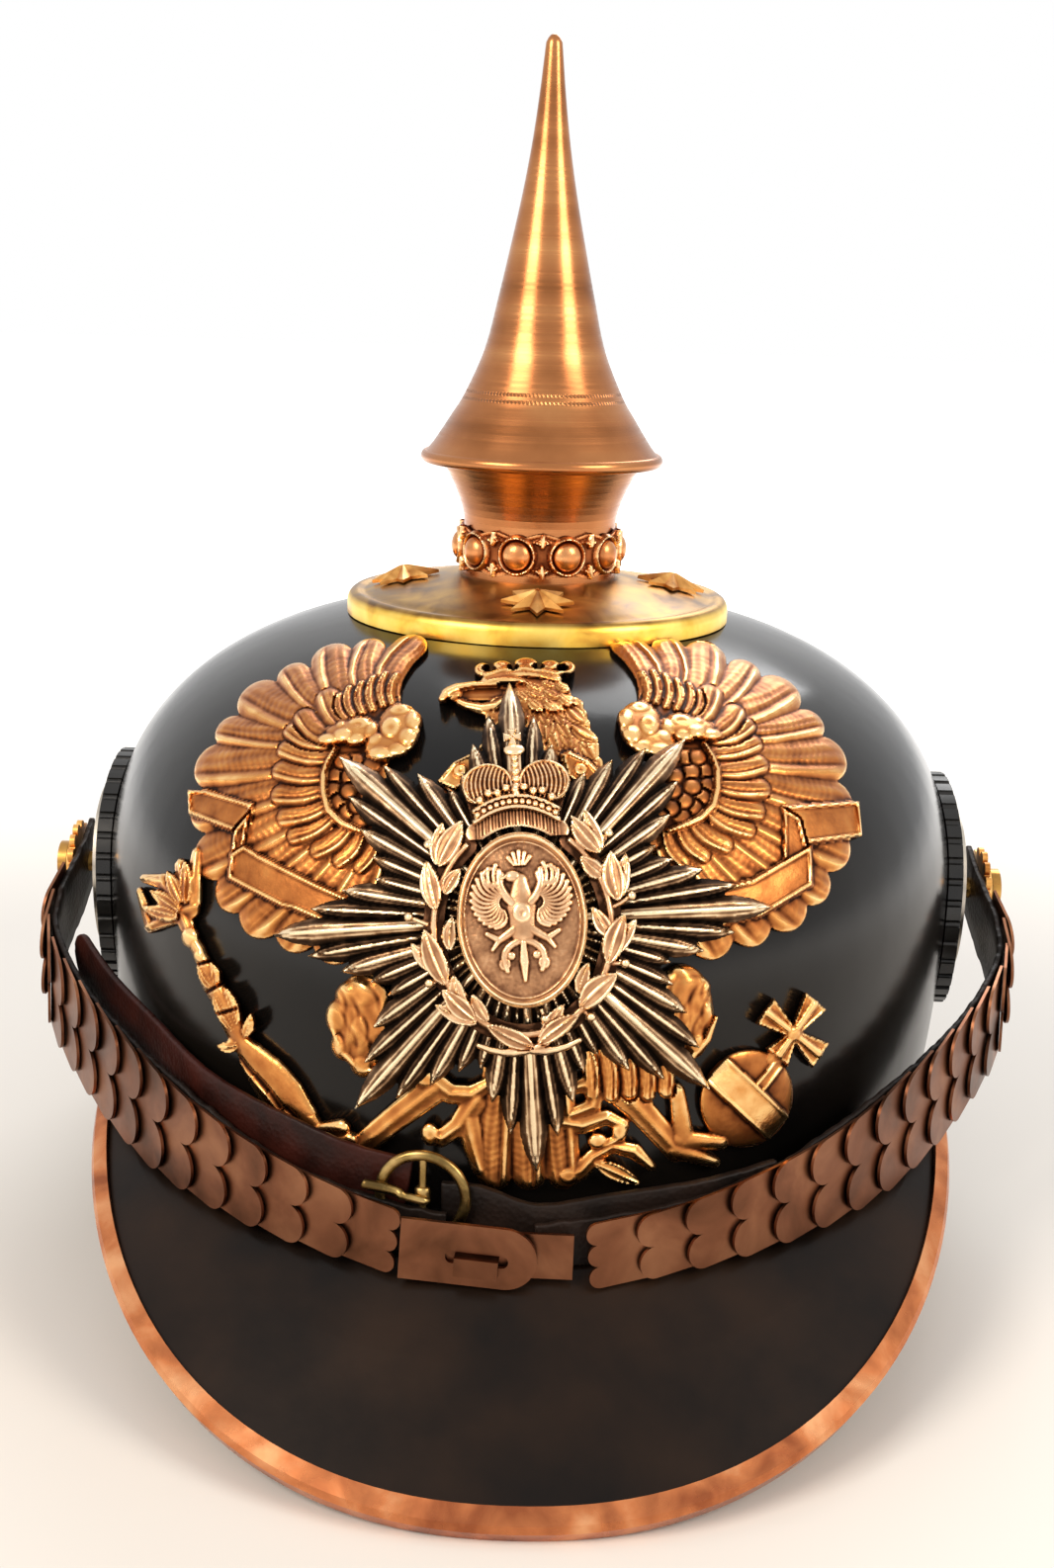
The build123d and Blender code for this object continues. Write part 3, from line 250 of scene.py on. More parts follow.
# The lining: thin ribbed silk, sewn to the sweatband, gathered in pleats and
# drawn together in the crown by a cord in its hem.
lining_low = -84.0
lining_high = -20.5
lining_draw = 6.0
lining_fold_height = 24.0
lining_gap = 1.2
lining_sheet = 0.35
lining_rows = 30
pleat_count = 72
pleat_depth = 1.5
rib_pitch = 1.4
wave_ribs = 3.2
silk, tree, place = start_material("ribbed_silk", Metallic=0.0, Roughness=0.5, Sheen_Weight=0.35)
rib_inputs = {"Vector": place, "Scale": 1 / (rib_pitch * MM) / wave_ribs, "Distortion": 0.6}
cords = add_node(tree, "TexWave", rib_inputs, bands_direction="Z")
cloud = add_node(tree, "TexNoise", {"Vector": place, "Scale": 1 / (30 * MM), "Detail": 4.0})
tone = add_node(tree, "ValToRGB", {"Fac": cloud}, ((0.35, "#8c7c58"), (0.65, "#b3a27c")))
weave = add_node(
    tree, "Bump", {"Height": cords.outputs["Fac"], "Distance": 0.1 * MM, "Strength": 0.6},
)
finish_material(silk, Base_Color=tone, Normal=weave)
lining_turns = np.linspace(0, 2 * math.pi, pleat_count * 10, endpoint=False)
lining_points = []
for layer in (0, 1):
    for share in np.linspace(layer, 1 - layer, lining_rows):
        z = lining_low + share * (lining_high - lining_low) + 0 * lining_turns
        drawn = lining_draw * np.minimum(1, (z - lining_low) / lining_fold_height)
        deep = pleat_depth * min(1, 0.25 + share) * (0.75 + 0.25 * np.sin(lining_turns * 5))
        pleats = np.sin(pleat_count * lining_turns + 0.8 * np.sin(3 * lining_turns + 4 * share))
        fold = deep * pleats - lining_sheet * layer
        inner = -skull_wall - band_gap - band_wall - lining_gap - drawn
        lining_points.append(inside_ring(lining_turns, z, inner, -fold))
lining = make_piece(
    "pleated_lining", np.concatenate(lining_points),
    tube_faces(2 * lining_rows, len(lining_turns), True), silk, "root", ["silk_lining"],
)

# The visors: stiff lacquered leather, brown-black where the varnish has
# thinned, sewn to the lower edge of the skull.
visor_lacquer = lacquered_leather(
    "visor_lacquer", ("#100a07", "#24170e"), 30, (0.26, 0.4), 2.4, 0.03, 0.14,
)
dress("front_visor", visor_lacquer)
dress("rear_visor", visor_lacquer)

# The edge of the front visor: a strip of tombac, folded over the leather
# and rubbed to a coppery shine.


def aged_metal(name, tones, patch, gloss):
    """Sheet metal whose polish has gone brown in patches of a size in millimetres."""
    material, tree, place = start_material(name, Metallic=1.0)
    stain_inputs = {"Vector": place, "Scale": 1 / (patch * MM), "Detail": 6.0, "Distortion": 0.4}
    stain = add_node(tree, "TexNoise", stain_inputs)
    stops = ((0.32, tones[0]), (0.5, tones[1]), (0.68, tones[2]))
    tone = add_node(tree, "ValToRGB", {"Fac": stain}, stops)
    wear = add_node(tree, "TexNoise", {"Vector": place, "Scale": 2 / (patch * MM), "Detail": 4.0})
    range_inputs = {
        "Value": wear, "From Min": 0.3, "From Max": 0.7, "To Min": gloss[0], "To Max": gloss[1],
    }
    rough = add_node(tree, "MapRange", range_inputs)
    dents = add_node(tree, "Bump", {"Height": wear, "Distance": 0.02 * MM, "Strength": 1.0})
    return finish_material(material, Base_Color=tone, Roughness=rough, Normal=dents)


tombac = aged_metal("rubbed_tombac", ("#9a5636", "#c87a4c", "#e2a272"), 12, (0.2, 0.36))
dress("front_visor_trim", tombac)

# The rear spine and the plain fittings: sheet brass, polished long ago and
# since gone brown in places.
brass = aged_metal("old_brass", ("#8d6332", "#c2924c", "#dcb368"), 11, (0.2, 0.36))
for name in ("rear_spine", "spine_studs", "neck_collar", "eagle_posts", "star_post"):
    dress(name, brass)
for side in ("left", "right"):
    dress(side + "_side_post", brass)

# Nuts and threads inside the helmet: plain steel, turned, and dulled a little
# in patches.
steel = aged_metal("turned_steel", ("#8b8a89", "#a9a9ab", "#c2c2c4"), 3, (0.28, 0.42))
for name in ("spine_nuts", "stud_nuts", "eagle_nuts", "star_nut", "side_post_nuts", "spike_stud"):
    dress(name, steel)

# The base plate under the spike: a round brass dish with a bright edge, its colour partly turned
# brass and partly a painted highlight, and a slope that has gone brown from handling.
rim_start = 42.2
rim_end = 42.8
plate_brass, tree, place = start_material("base_plate_brass", Metallic=1.0)
flat_place = add_node(tree, "VectorMath", {0: place, 1: (1.0, 1.0, 0.0)}, operation="MULTIPLY")
rim_reach = add_node(tree, "VectorMath", {0: flat_place}, operation="LENGTH")
stain = add_node(
    tree, "TexNoise", {"Vector": place, "Scale": 1 / (9 * MM), "Detail": 6.0, "Distortion": 0.5},
)
slope_stops = ((0.32, "#644520"), (0.5, "#987238"), (0.68, "#b48f4c"))
# The rim's lighter colours are partly turned brass and partly a painted highlight.
rim_stops = ((0.3, "#c98a35"), (0.46, "#f0c251"), (0.7, "#ffe07a"))
slope_tone = add_node(tree, "ValToRGB", {"Fac": stain}, slope_stops)
rim_tone = add_node(tree, "ValToRGB", {"Fac": stain}, rim_stops)
rim_inputs = {
    "Value": rim_reach.outputs["Value"], "From Min": rim_start * MM, "From Max": rim_end * MM,
}
on_rim = add_node(tree, "MapRange", rim_inputs)
tone = add_node(tree, "Mix", {0: on_rim, 6: slope_tone, 7: rim_tone}, data_type="RGBA")
range_inputs = {"Value": stain, "From Min": 0.3, "From Max": 0.7, "To Min": 0.28, "To Max": 0.42}
rough = add_node(tree, "MapRange", range_inputs)
finish_material(plate_brass, Base_Color=tone.outputs[2], Roughness=rough)
plate_outside = (
    (43.0, 0.0), (43.0, 2.5), (42.93, 3.1), (42.7, 3.75), (42.3, 4.3), (41.75, 4.7), (41.1, 4.9),
    (40.45, 4.85), (39.85, 4.66), (39.35, 4.52), (38.8, 4.56), (38.1, 4.78), (37.2, 5.1),
    (36.0, 5.47), (18.9, 8.8), (18.0, 8.9), (12.0, 8.9),
)
plate_inside = ((12.0, 8.1), (18.4, 8.1), (38.0, 4.2), (41.4, 3.6), (42.2, 2.5), (42.2, 0.0))
lathe_steps = 240


def spin_sheet(name, section, closed, material, body, node):
    """Sheet spun on a lathe: a section of radii and heights turned round the spike's axis."""
    turns = np.linspace(0, 2 * math.pi, lathe_steps, endpoint=False)
    around = np.stack((np.cos(turns), np.sin(turns)), 1)
    rings = [
        np.column_stack((radius * around, np.full(lathe_steps, high))) for radius, high in section
    ]
    faces = tube_faces(len(rings), lathe_steps, closed)
    make_piece(name, np.concatenate(rings), faces, material, body, [node], sharp=35)


spin_sheet(
    "beaded_base_plate", plate_outside + plate_inside, True, plate_brass, "root", "base_plate",
)

# The spike and its neck: tombac sheet spun on a lathe, with the lines that
# the spinning tool left. They are drawn 0.7 mm apart, because finer ones
# wouldn't show.
line_pitch = 0.7
spun, tree, place = start_material("spun_tombac", Metallic=1.0)
high = add_node(tree, "SeparateXYZ", {"Vector": place}).outputs["Z"]
line_inputs = {"W": high, "Scale": 1 / (line_pitch * MM), "Detail": 3.0}
lines = add_node(tree, "TexNoise", line_inputs, noise_dimensions="1D")
broad_inputs = {"W": high, "Scale": 1 / (11 * line_pitch * MM), "Detail": 2.0}
broad = add_node(tree, "TexNoise", broad_inputs, noise_dimensions="1D")
patchy = add_node(tree, "TexNoise", {"Vector": place, "Scale": 1 / (14 * MM), "Detail": 5.0})
mixed = add_node(tree, "Math", {0: broad, 1: patchy}, operation="ADD")
stops = ((0.3, "#8c5733"), (0.5, "#ac6f44"), (0.7, "#c48856"))
half_sum = add_node(tree, "MapRange", {"Value": mixed, "From Min": 0.0, "From Max": 2.0})
tone = add_node(tree, "ValToRGB", {"Fac": half_sum}, stops)
range_inputs = {"Value": lines, "From Min": 0.3, "From Max": 0.7, "To Min": 0.2, "To Max": 0.3}
rough = add_node(tree, "MapRange", range_inputs)
turned = add_node(tree, "Bump", {"Height": lines, "Distance": 0.005 * MM, "Strength": 1.0})
# Two rows of slanted nicks were rolled into the sheet above the flare. Each
# is 0.7 mm high, and the nicks are 0.8 mm apart.
knurl_height = 48.45
knurl_gap = 1.5
nick_pitch = 0.8
flare_radius = 15.8
flat = add_node(tree, "SeparateXYZ", {"Vector": place}).outputs
turn = add_node(tree, "Math", {0: flat["Y"], 1: flat["X"]}, operation="ARCTAN2").outputs["Value"]
nick_count = round(2 * math.pi * flare_radius / nick_pitch)
nick_turns = add_node(tree, "Math", {0: turn, 1: nick_count}, operation="MULTIPLY")
slanted = add_node(tree, "Math", {0: high, 1: 2.5 / MM, 2: nick_turns}, operation="MULTIPLY_ADD")
nicks = add_node(tree, "Math", {0: slanted}, operation="SINE")
above_rows = add_node(
    tree, "Math", {0: high, 1: (plate_foot + knurl_height) * MM}, operation="SUBTRACT",
)
off_rows = add_node(tree, "Math", {0: above_rows}, operation="ABSOLUTE")
off_row = add_node(tree, "Math", {0: off_rows, 1: knurl_gap / 2 * MM}, operation="SUBTRACT")
off_row = add_node(tree, "Math", {0: off_row}, operation="ABSOLUTE")
row_values = {
    "Value": off_row, "From Min": 0.2 * MM, "From Max": 0.4 * MM, "To Min": 1.0, "To Max": 0.0,
}
in_row = add_node(tree, "MapRange", row_values).outputs["Result"]
knurling = add_node(tree, "Math", {0: nicks, 1: in_row}, operation="MULTIPLY")
turned = add_node(
    tree, "Bump", {"Height": knurling, "Distance": 0.08 * MM, "Strength": 1.0, "Normal": turned},
)
# The deep half of each nick is painted dark brown, as painted shade.
nick_inputs = {"Value": knurling, "From Min": 0.0, "From Max": -1.0, "To Min": 0.0, "To Max": 0.6}
nick_painted_shade = add_node(tree, "MapRange", nick_inputs)
tone = add_node(tree, "Mix", {0: nick_painted_shade, 6: tone, 7: linear("#4a2814")}, data_type="RGBA")
finish_material(spun, Base_Color=tone.outputs[2], Roughness=rough, Normal=turned)
for name in ("spike_neck", "spike_base"):
    dress(name, spun)
spike_outside = (
    (25.7, 36.02), (24.0, 38.1), (20.2, 43.95), (17.3, 48.75), (13.1, 58.6), (10.49, 69.3),
    (8.15, 79.9), (5.97, 90.4), (4.2, 100.6), (2.85, 110.8), (1.75, 121.4),
)
spike_wall = 0.9
spike_hollow_height = 100.0
flange_throat = 22.9
flange_foot = 33.4
bead_radius = 1.42
bead_middle = (25.48, 34.82)


def smooth_places(points, step):
    """Places a small step apart on a smooth line through points."""
    points = np.array(points, float)
    points = np.concatenate((2 * points[:1] - points[1:2], points, 2 * points[-1:] - points[-2:-1]))
    line = []
    for before, first, last, after in zip(points[:-3], points[1:-2], points[2:-1], points[3:]):
        for t in np.arange(0, 1, step / np.linalg.norm(last - first)):
            bend = (2 * before - 5 * first + 4 * last - after) * t**2
            bend = bend + (3 * first - before - 3 * last + after) * t**3
            line.append(first + ((last - before) * t + bend) / 2)
    return np.array(line + [points[-2]])


outside = smooth_places(spike_outside, 1.2)
hollow = outside[outside[:, 1] < spike_hollow_height][::-1] - (spike_wall, 0)
hollow = np.concatenate((((0.02, hollow[0, 1]),), hollow))
bead_turns = np.linspace(-math.pi / 2, 1.15, 16)
bead = np.stack((np.cos(bead_turns), np.sin(bead_turns)), 1) * bead_radius + bead_middle
point = ((1.3, 122.3), (0.8, 122.9), (0.3, 123.1), (0.02, 123.1))
spike_section = np.concatenate(
    (hollow, ((flange_throat, 35.6), (flange_throat, flange_foot)), bead, outside, point)
)
spin_sheet("rolled_spike", spike_section, False, spun, "spike", "spike_shell")

# The star studs on the base plate and the rosettes on the side posts: stamped
# brass, gilt and rubbed bright.
gilt = aged_metal("rubbed_gilding", ("#ab6f36", "#dba057", "#f6c77e"), 5, (0.3, 0.42))
for name in ("base_star_studs", "left_rosette", "right_rosette"):
    dress(name, gilt)

# Cockades behind the chin scales: fluted sheet, lacquered black, with a
# silver ring.
cockade_black = lacquered_leather(
    "cockade_lacquer", ("#121110", "#1d1b19"), 16, (0.22, 0.36), 2, 0.02, 0.4,
)
silver = aged_metal("dull_silver", ("#a39a8c", "#b9b0a4", "#c8c0b2"), 6, (0.28, 0.42))
for side in ("left", "right"):
    dress(side + "_cockade", cockade_black)
    dress(side + "_cockade_ring", silver)

# The eagle plate: thin brass sheet, stamped in a die, chased and fire gilt,
# with posts through the skull. It is drawn on a plane that leans back in
# front of the skull, in millimetres from the star's centre.
badge_middle = np.array((-1.0, -114.5, -34.3))
badge_lean = math.radians(20.0)
eagle_turn = math.radians(2.5)
plate_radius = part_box("base_plate")[1].x / MM
leather_gap = 0.3
far_outside = -9.0
edge_reach = 0.45
relief_reach = 1.6


def badge_axes(turn):
    """Directions to the right, up and out of the badge plane, turned in the plane."""
    across = np.array((1.0, 0.0, 0.0))
    up = np.array((0.0, math.sin(badge_lean), math.cos(badge_lean)))
    out = np.array((0.0, -math.cos(badge_lean), math.sin(badge_lean)))
    right = across * math.cos(turn) + up * math.sin(turn)
    return right, up * math.cos(turn) - across * math.sin(turn), out


def start_relief(left, right, low, high, step):
    """An empty sheet of places, on which shapes are then pressed."""
    u, w = np.meshgrid(np.arange(left, right, step), np.arange(low, high, step))
    empty = np.full(u.shape, far_outside)
    return {"u": u, "w": w, "step": step, "inside": empty, "height": empty.copy(), "tone": 0 * u}


def window(relief, points, reach):
    """The part of the sheet round some points, with its places."""
    points = np.array(points, float)
    spans = []
    for values, axis in ((relief["w"][:, 0], 1), (relief["u"][0], 0)):
        low = np.searchsorted(values, points[:, axis].min() - reach)
        high = np.searchsorted(values, points[:, axis].max() + reach)
        spans.append(slice(max(low - 1, 0), high + 1))
    part = tuple(spans)
    return part, relief["u"][part], relief["w"][part]


def press(relief, part, inside, height, over=False, tone=0.0):
    """Raises the sheet to a height where a shape lies, or replaces what is below it."""
    there = inside > -relief["step"]
    old = relief["height"][part]
    fresh = there & (over | (height > old))
    relief["height"][part] = np.where(fresh, height, old)
    relief["tone"][part] = np.where(fresh, tone, relief["tone"][part])
    relief["inside"][part] = np.maximum(relief["inside"][part], inside)


def along_line(u, w, points, radii):
    """How deep places lie inside a bent rod, how far along it, and how far across it."""
    points = np.array(points, float)
    steps = np.hypot(*np.diff(points, axis=0).T)
    total = steps.sum()
    depth = np.full(u.shape, -99.0)
    along = np.zeros(u.shape)
    across = np.zeros(u.shape)
    radius = np.full(u.shape, 1.0)
    before = 0.0
    for (x0, y0), (x1, y1), length in zip(points[:-1], points[1:], steps):
        dx, dy = (x1 - x0) / length, (y1 - y0) / length
        forward = (u - x0) * dx + (w - y0) * dy
        share = np.clip(forward, 0, length)
        place = (before + share) / total
        thick = np.interp(place, np.linspace(0, 1, len(radii)), radii)
        now = thick - np.hypot(u - x0 - share * dx, w - y0 - share * dy)
        better = now > depth
        depth = np.where(better, now, depth)
        along = np.where(better, place, along)
        across = np.where(better, (w - y0) * dx - (u - x0) * dy, across)
        radius = np.where(better, thick, radius)
        before += length
    return depth, along, across, radius, total


def mirrored(points, side):
    """Places as they are for side 1, and on the other side of the middle for side -1."""
    return [(side * x, y) for x, y in points]


def bowed(start, end, bow):
    """Places along a line that bows out to its left."""
    t = np.linspace(0, 1, 7)
    x = start[0] + (end[0] - start[0]) * t
    y = start[1] + (end[1] - start[1]) * t
    length = math.hypot(end[0] - start[0], end[1] - start[1])
    lift = 4 * bow * t * (1 - t)
    return np.stack(
        (x - (end[1] - start[1]) / length * lift, y + (end[0] - start[0]) / length * lift), 1,
    )


def press_feather(relief, start, end, bow, radii, base, rise, rib_side=1.0, over=False, tone=0.0):
    """A feather: a broad grooved vane and a rounded edge with a painted highlight, with fine barbs.
    """
    line = bowed(start, end, bow)
    part, u, w = window(relief, line, max(radii) + 1)
    depth, along, across, radius, total = along_line(u, w, line, radii)
    c = np.clip(across / radius * rib_side, -1, 1)
    vane = 0.78 * np.sqrt(np.clip(1 - (0.94 * c) ** 2, 0, 1))
    edge = 0.34 * np.exp(-(((c - 0.6) / 0.2) ** 2)) - 0.26 * np.exp(-(((c - 0.26) / 0.13) ** 2))
    sway = c + 0.16 * np.sin(5 * along + start[0])
    furrows = 0.05 * np.cos(2 * math.pi * 2.2 * sway) * (c < 0.1)
    barbs = 0.022 * np.sin(2 * math.pi * (along * total / 1.3 + 1.2 * np.abs(c + 0.3))) * (c < 0.3)
    tip = np.clip(depth / (0.45 * radius), 0, 1) ** 0.5
    # The rounded edge on the feather's lit side gets a painted highlight, and the rest of the vane
    # is painted a little darker, as painted shade.
    lit = tone + 0.07 * np.exp(-(((c - 0.6) / 0.26) ** 2)) - 0.05 * (c < 0.3)
    form = 0.12 + ((vane + edge) * (0.7 + 0.3 * along) + furrows + barbs) * tip
    press(relief, part, depth, base + rise * form, over, lit)


def press_rod(relief, points, radii, base, rise, flutes=0, over=False, tone=0.0):
    """A round rod with its centre line through points, with flutes along it if asked."""
    part, u, w = window(relief, points, max(radii) + 1)
    depth, along, across, radius, total = along_line(u, w, points, radii)
    c = np.clip(1 - depth / radius, 0, 1)
    height = base + rise * np.sqrt(1 - c**2)
    if flutes:
        groove = 0.5 - 0.5 * np.cos(2 * math.pi * flutes * across / (2 * radius))
        height = height - 0.22 * rise * groove
    press(relief, part, depth, height, over, tone)


def press_dome(relief, x, y, half_width, half_height, base, rise, hollow=0.0, over=False, tone=0.0):
    """A round or oval dome, sunk in its middle if asked."""
    half = max(half_width, half_height)
    part, u, w = window(relief, [(x - half, y - half), (x + half, y + half)], 1)
    q = np.hypot((u - x) / half_width, (w - y) / half_height)
    depth = (1 - q) * min(half_width, half_height)
    height = base + rise * np.sqrt(np.clip(1 - q**2, 0, 1))
    if hollow:
        height = height - rise * hollow * np.exp(-((q / 0.45) ** 2))
    press(relief, part, depth, height, over, tone)


def press_plate(relief, points, height, rim=0.0, rim_width=0.7, over=False, tone=0.0, crown=0.0):
    """A plate with straight sides, crowned or with a raised edge if asked."""
    part, u, w = window(relief, points, 2)
    far = np.full(u.shape, 99.0)
    inside = np.zeros(u.shape, bool)
    for (x0, y0), (x1, y1) in zip(points, points[1:] + points[:1]):
        length = math.hypot(x1 - x0, y1 - y0)
        share = np.clip(((u - x0) * (x1 - x0) + (w - y0) * (y1 - y0)) / length**2, 0, 1)
        far = np.minimum(far, np.hypot(u - x0 - share * (x1 - x0), w - y0 - share * (y1 - y0)))
        crosses = (y0 > w) != (y1 > w)
        inside ^= crosses & (u < (x1 - x0) * (w - y0) / ((y1 - y0) or least) + x0)
    depth = np.where(inside, far, -far)
    on_edge = np.clip(1.4 * (1 - np.abs(depth - rim_width / 2) / (rim_width / 2)), 0, 1)
    swell = crown * np.sqrt(np.clip(depth / 2.5, 0, 1))
    height = height + rim * on_edge + swell - 0.3 * (depth < 0.15)
    press(relief, part, depth, height, over, tone + 0.22 * on_edge * (rim > 0))


def press_leaf(relief, start, end, half, base, lean=0.0, over=True):
    """A pointed leaf with a bright raised edge and midrib."""
    (x, y), (far_x, far_y) = start, end
    length = math.hypot(far_x - x, far_y - y)
    dx, dy = (far_x - x) / length, (far_y - y) / length
    part, u, w = window(relief, [start, end], half + 1)
    along = ((u - x) * dx + (w - y) * dy) / length
    across = (w - y) * dx - (u - x) * dy - lean * np.sin(math.pi * np.clip(along, 0, 1))
    wide = half * np.sin(math.pi * np.clip(along, 0, 1) ** 0.85) ** 0.75
    depth = np.where((along > 0) & (along < 1), wide - np.abs(across), far_outside)
    c = np.clip(np.abs(across) / np.maximum(wide, 0.2), 0, 1)
    ribs = np.exp(-((c / 0.13) ** 2)) + np.exp(-(((c - 0.86) / 0.15) ** 2))
    height = base + 0.55 + 0.3 * (1 - c**2) + 0.36 * ribs
    press(relief, part, depth, height, over, 0.16 * ribs)


def soften(values, reach):
    """Each value's mean over its neighbours within a number of places."""
    for axis in (0, 1):
        border = [(reach + 1, reach) if a == axis else (0, 0) for a in (0, 1)]
        total = np.cumsum(np.pad(values, border, "edge"), axis)
        size = 2 * reach + 1
        ahead = np.take(total, range(size, total.shape[axis]), axis)
        values = (ahead - np.take(total, range(total.shape[axis] - size), axis)) / size
    return values


def lay_on_skull(turn):
    """The way in which a badge's sheet is laid on the skull."""
    right, up, out = badge_axes(turn)
    return lambda u, w, tall: on_skull(badge_middle + u * right + w * up + 30.0 * out, -out, tall)


def finish_relief(relief, name, lay, back, material, node):
    """Lays the sheet on what carries it, closes its back, and marks rubbed high places and painted
    light: a painted highlight on what stands up, painted shade in hollows and on the back.
    """
    step = relief["step"]
    u, w, inside, height = (relief[key] for key in ("u", "w", "inside", "height"))
    there = inside > -0.7 * step
    slope_w, slope_u = np.gradient(inside, step)
    steep = np.maximum(slope_u**2 + slope_w**2, 0.25)
    shift = np.where(inside < 0, np.clip(-inside / steep, 0, step), 0)
    u = u + slope_u * shift
    w = w + slope_w * shift
    cells = there[:-1, :-1] & there[:-1, 1:] & there[1:, 1:] & there[1:, :-1]
    rows, columns = np.nonzero(cells)
    width = u.shape[1]
    corner = rows * width + columns
    quads = np.stack((corner, corner + 1, corner + width + 1, corner + width), 1)
    used, quads = np.unique(quads, return_inverse=True)
    quads = quads.reshape(-1, 4)
    count = len(used)
    flat_u, flat_w = u.ravel()[used][:, None], w.ravel()[used][:, None]
    top = lay(flat_u, flat_w, height.ravel()[used])
    low = lay(flat_u, flat_w, np.full(count, back))
    edges = np.concatenate([np.stack((quads[:, i], quads[:, (i + 1) % 4]), 1) for i in range(4)])
    keys = edges[:, 0] * count + edges[:, 1]
    border = edges[~np.isin(keys, edges[:, 1] * count + edges[:, 0])]
    walls = np.stack((border[:, 1], border[:, 0], border[:, 0] + count, border[:, 1] + count), 1)
    faces = np.concatenate((quads, quads[:, ::-1] + count, walls))
    points = np.concatenate((top, low))
    plate = make_piece(name, points, faces.tolist(), material, "root", [node], sharp=60)
    # The mark is lighter where the sheet stands above its neighbours and darker in its hollows:
    # partly rubbed gilding and tarnish, partly a painted highlight and painted shade. The relief's
    # tones, some of them painted light, are added to it.
    solid_height = np.where(inside > 0, height, back)
    near = solid_height - soften(solid_height, max(1, round(edge_reach / step)))
    wide = solid_height - soften(solid_height, max(1, round(relief_reach / step)))
    wear_and_painted_light = np.clip(0.5 + near * 1.25 + wide * 0.45 + relief["tone"], 0, 1).ravel()[used]
    mark = plate.data.attributes.new("wear_and_painted_light", "FLOAT", "POINT")
    # The back gets a darker share of the mark, as painted shade.
    mark.data.foreach_set("value", np.concatenate((wear_and_painted_light, wear_and_painted_light * 0.4)).astype(np.float32))


def stamped_metal(name, stops, patch, gloss):
    """Stamped metal: bright where its relief is rubbed and stands up, darker with tarnish where it
    is deep, with the painted highlights and painted shade of the relief's mark.
    """
    material, tree, place = start_material(name, Metallic=1.0)
    relief_wear_and_painted_light = add_node(tree, "Attribute", attribute_name="wear_and_painted_light").outputs["Fac"]
    stain = add_node(
        tree, "TexNoise", {"Vector": place, "Scale": 1 / (patch * MM), "Detail": 5.0},
    ).outputs["Fac"]
    swing = {"Value": stain, "From Min": 0.3, "From Max": 0.7, "To Min": -0.13, "To Max": 0.13}
    swing = add_node(tree, "MapRange", swing, clamp=False).outputs["Result"]
    wear_and_painted_light = add_node(tree, "Math", {0: relief_wear_and_painted_light, 1: swing}, operation="ADD").outputs["Value"]
    tone = add_node(tree, "ValToRGB", {"Fac": wear_and_painted_light}, stops)
    range_inputs = {
        "Value": wear_and_painted_light, "From Min": 0.2, "From Max": 0.8, "To Min": gloss[0], "To Max": gloss[1],
    }
    rough = add_node(tree, "MapRange", range_inputs)
    cast = add_node(tree, "TexNoise", {"Vector": place, "Scale": 1 / (0.9 * MM), "Detail": 4.0})
    skin = add_node(tree, "Bump", {"Height": cast, "Distance": 0.07 * MM, "Strength": 1.0})
    return finish_material(material, Base_Color=tone, Roughness=rough, Normal=skin)


# Fire gilding over stamped brass: orange gold on what is raised, with a painted highlight there,
# and brown tarnish that was never rubbed off in what is deep, darkened further as painted shade.
gilding_tones = (
    (0.06, "#2b140a"), (0.28, "#7a4422"), (0.50, "#b06d38"), (0.74, "#d69450"), (0.95, "#f8c884"),
)
eagle_gilt = stamped_metal("eagle_fire_gilding", gilding_tones, 4.5, (0.55, 0.22))

eagle = start_relief(-82.0, 72.0, -52.0, 64.0, 0.28)

# Wings: a rim of long feathers, a second row of narrow grooved ones, and
# small dark scales inside a thin bright line. Bright lobes stand on the
# wrist. The right wing is the mirror image of the left.
rim_feathers = (
    ((24, 39), (22.5, 57), 3.75), ((26, 40), (31, 56.5), 3.6), ((28, 39), (38.5, 54.8), 4.5),
    ((30, 38), (46.2, 51.0), 3.6), ((31, 37), (52.6, 45.8), 5.0), ((32, 35), (57.8, 39.0), 3.6),
    ((33, 32), (60, 31.5), 5.0), ((33, 29), (60.2, 22.5), 4.6), ((32, 25), (58.4, 13.5), 4.9),
    ((31, 22), (54.2, 6.4), 4.2), ((29, 20), (48.6, 1.9), 4.6), ((27, 18), (41.6, -1.2), 4.2),
    ((25, 16), (34, -3.2), 4.4),
)
second_row = (
    ((33.4, 38.0), (37.6, 44.2), 2.7), ((37.2, 35.8), (42.0, 40.2), 2.3),
    ((37.8, 34.4), (44.0, 37.4), 2.0), ((36.4, 31.4), (44.8, 33.6), 2.0),
    ((36.6, 28.0), (45.2, 29.2), 2.2), ((36.4, 25.2), (45.0, 24.4), 2.2),
    ((35.8, 22.2), (43.6, 20.0), 2.1), ((35.2, 19.6), (41.6, 16.4), 1.9),
    ((31.8, 17.4), (37.0, 13.6), 1.9), ((29.4, 15.8), (32.8, 11.6), 1.7),
    ((26.4, 15.0), (29.0, 10.4), 1.6),
)
wing_ground = (
    (22.0, 40.5), (24.0, 44.0), (33.0, 41.0), (37.5, 34.0), (37.5, 24.0), (35.0, 18.0),
    (25.0, 13.0), (16.5, 9.0), (20.5, 20.5), (25.2, 28.2), (22.8, 34.0),
)
wing_line = (
    (35.0, 33.1), (36.3, 30.5), (36.9, 28.0), (36.6, 24.2), (35.5, 20.8), (32.9, 18.3),
    (30.1, 17.0), (26.7, 15.8),
)
small_feathers = (
    ((24.6, 42.6), (24.4, 49.2), 0.9), ((26.4, 42.4), (26.6, 49.6), 1.0),
    ((28.4, 41.6), (29.0, 48.8), 1.0), ((30.4, 41.0), (31.2, 47.6), 1.0),
    ((32.2, 40.4), (33.6, 46.6), 1.0), ((33.6, 39.6), (35.4, 45.0), 0.9),
)
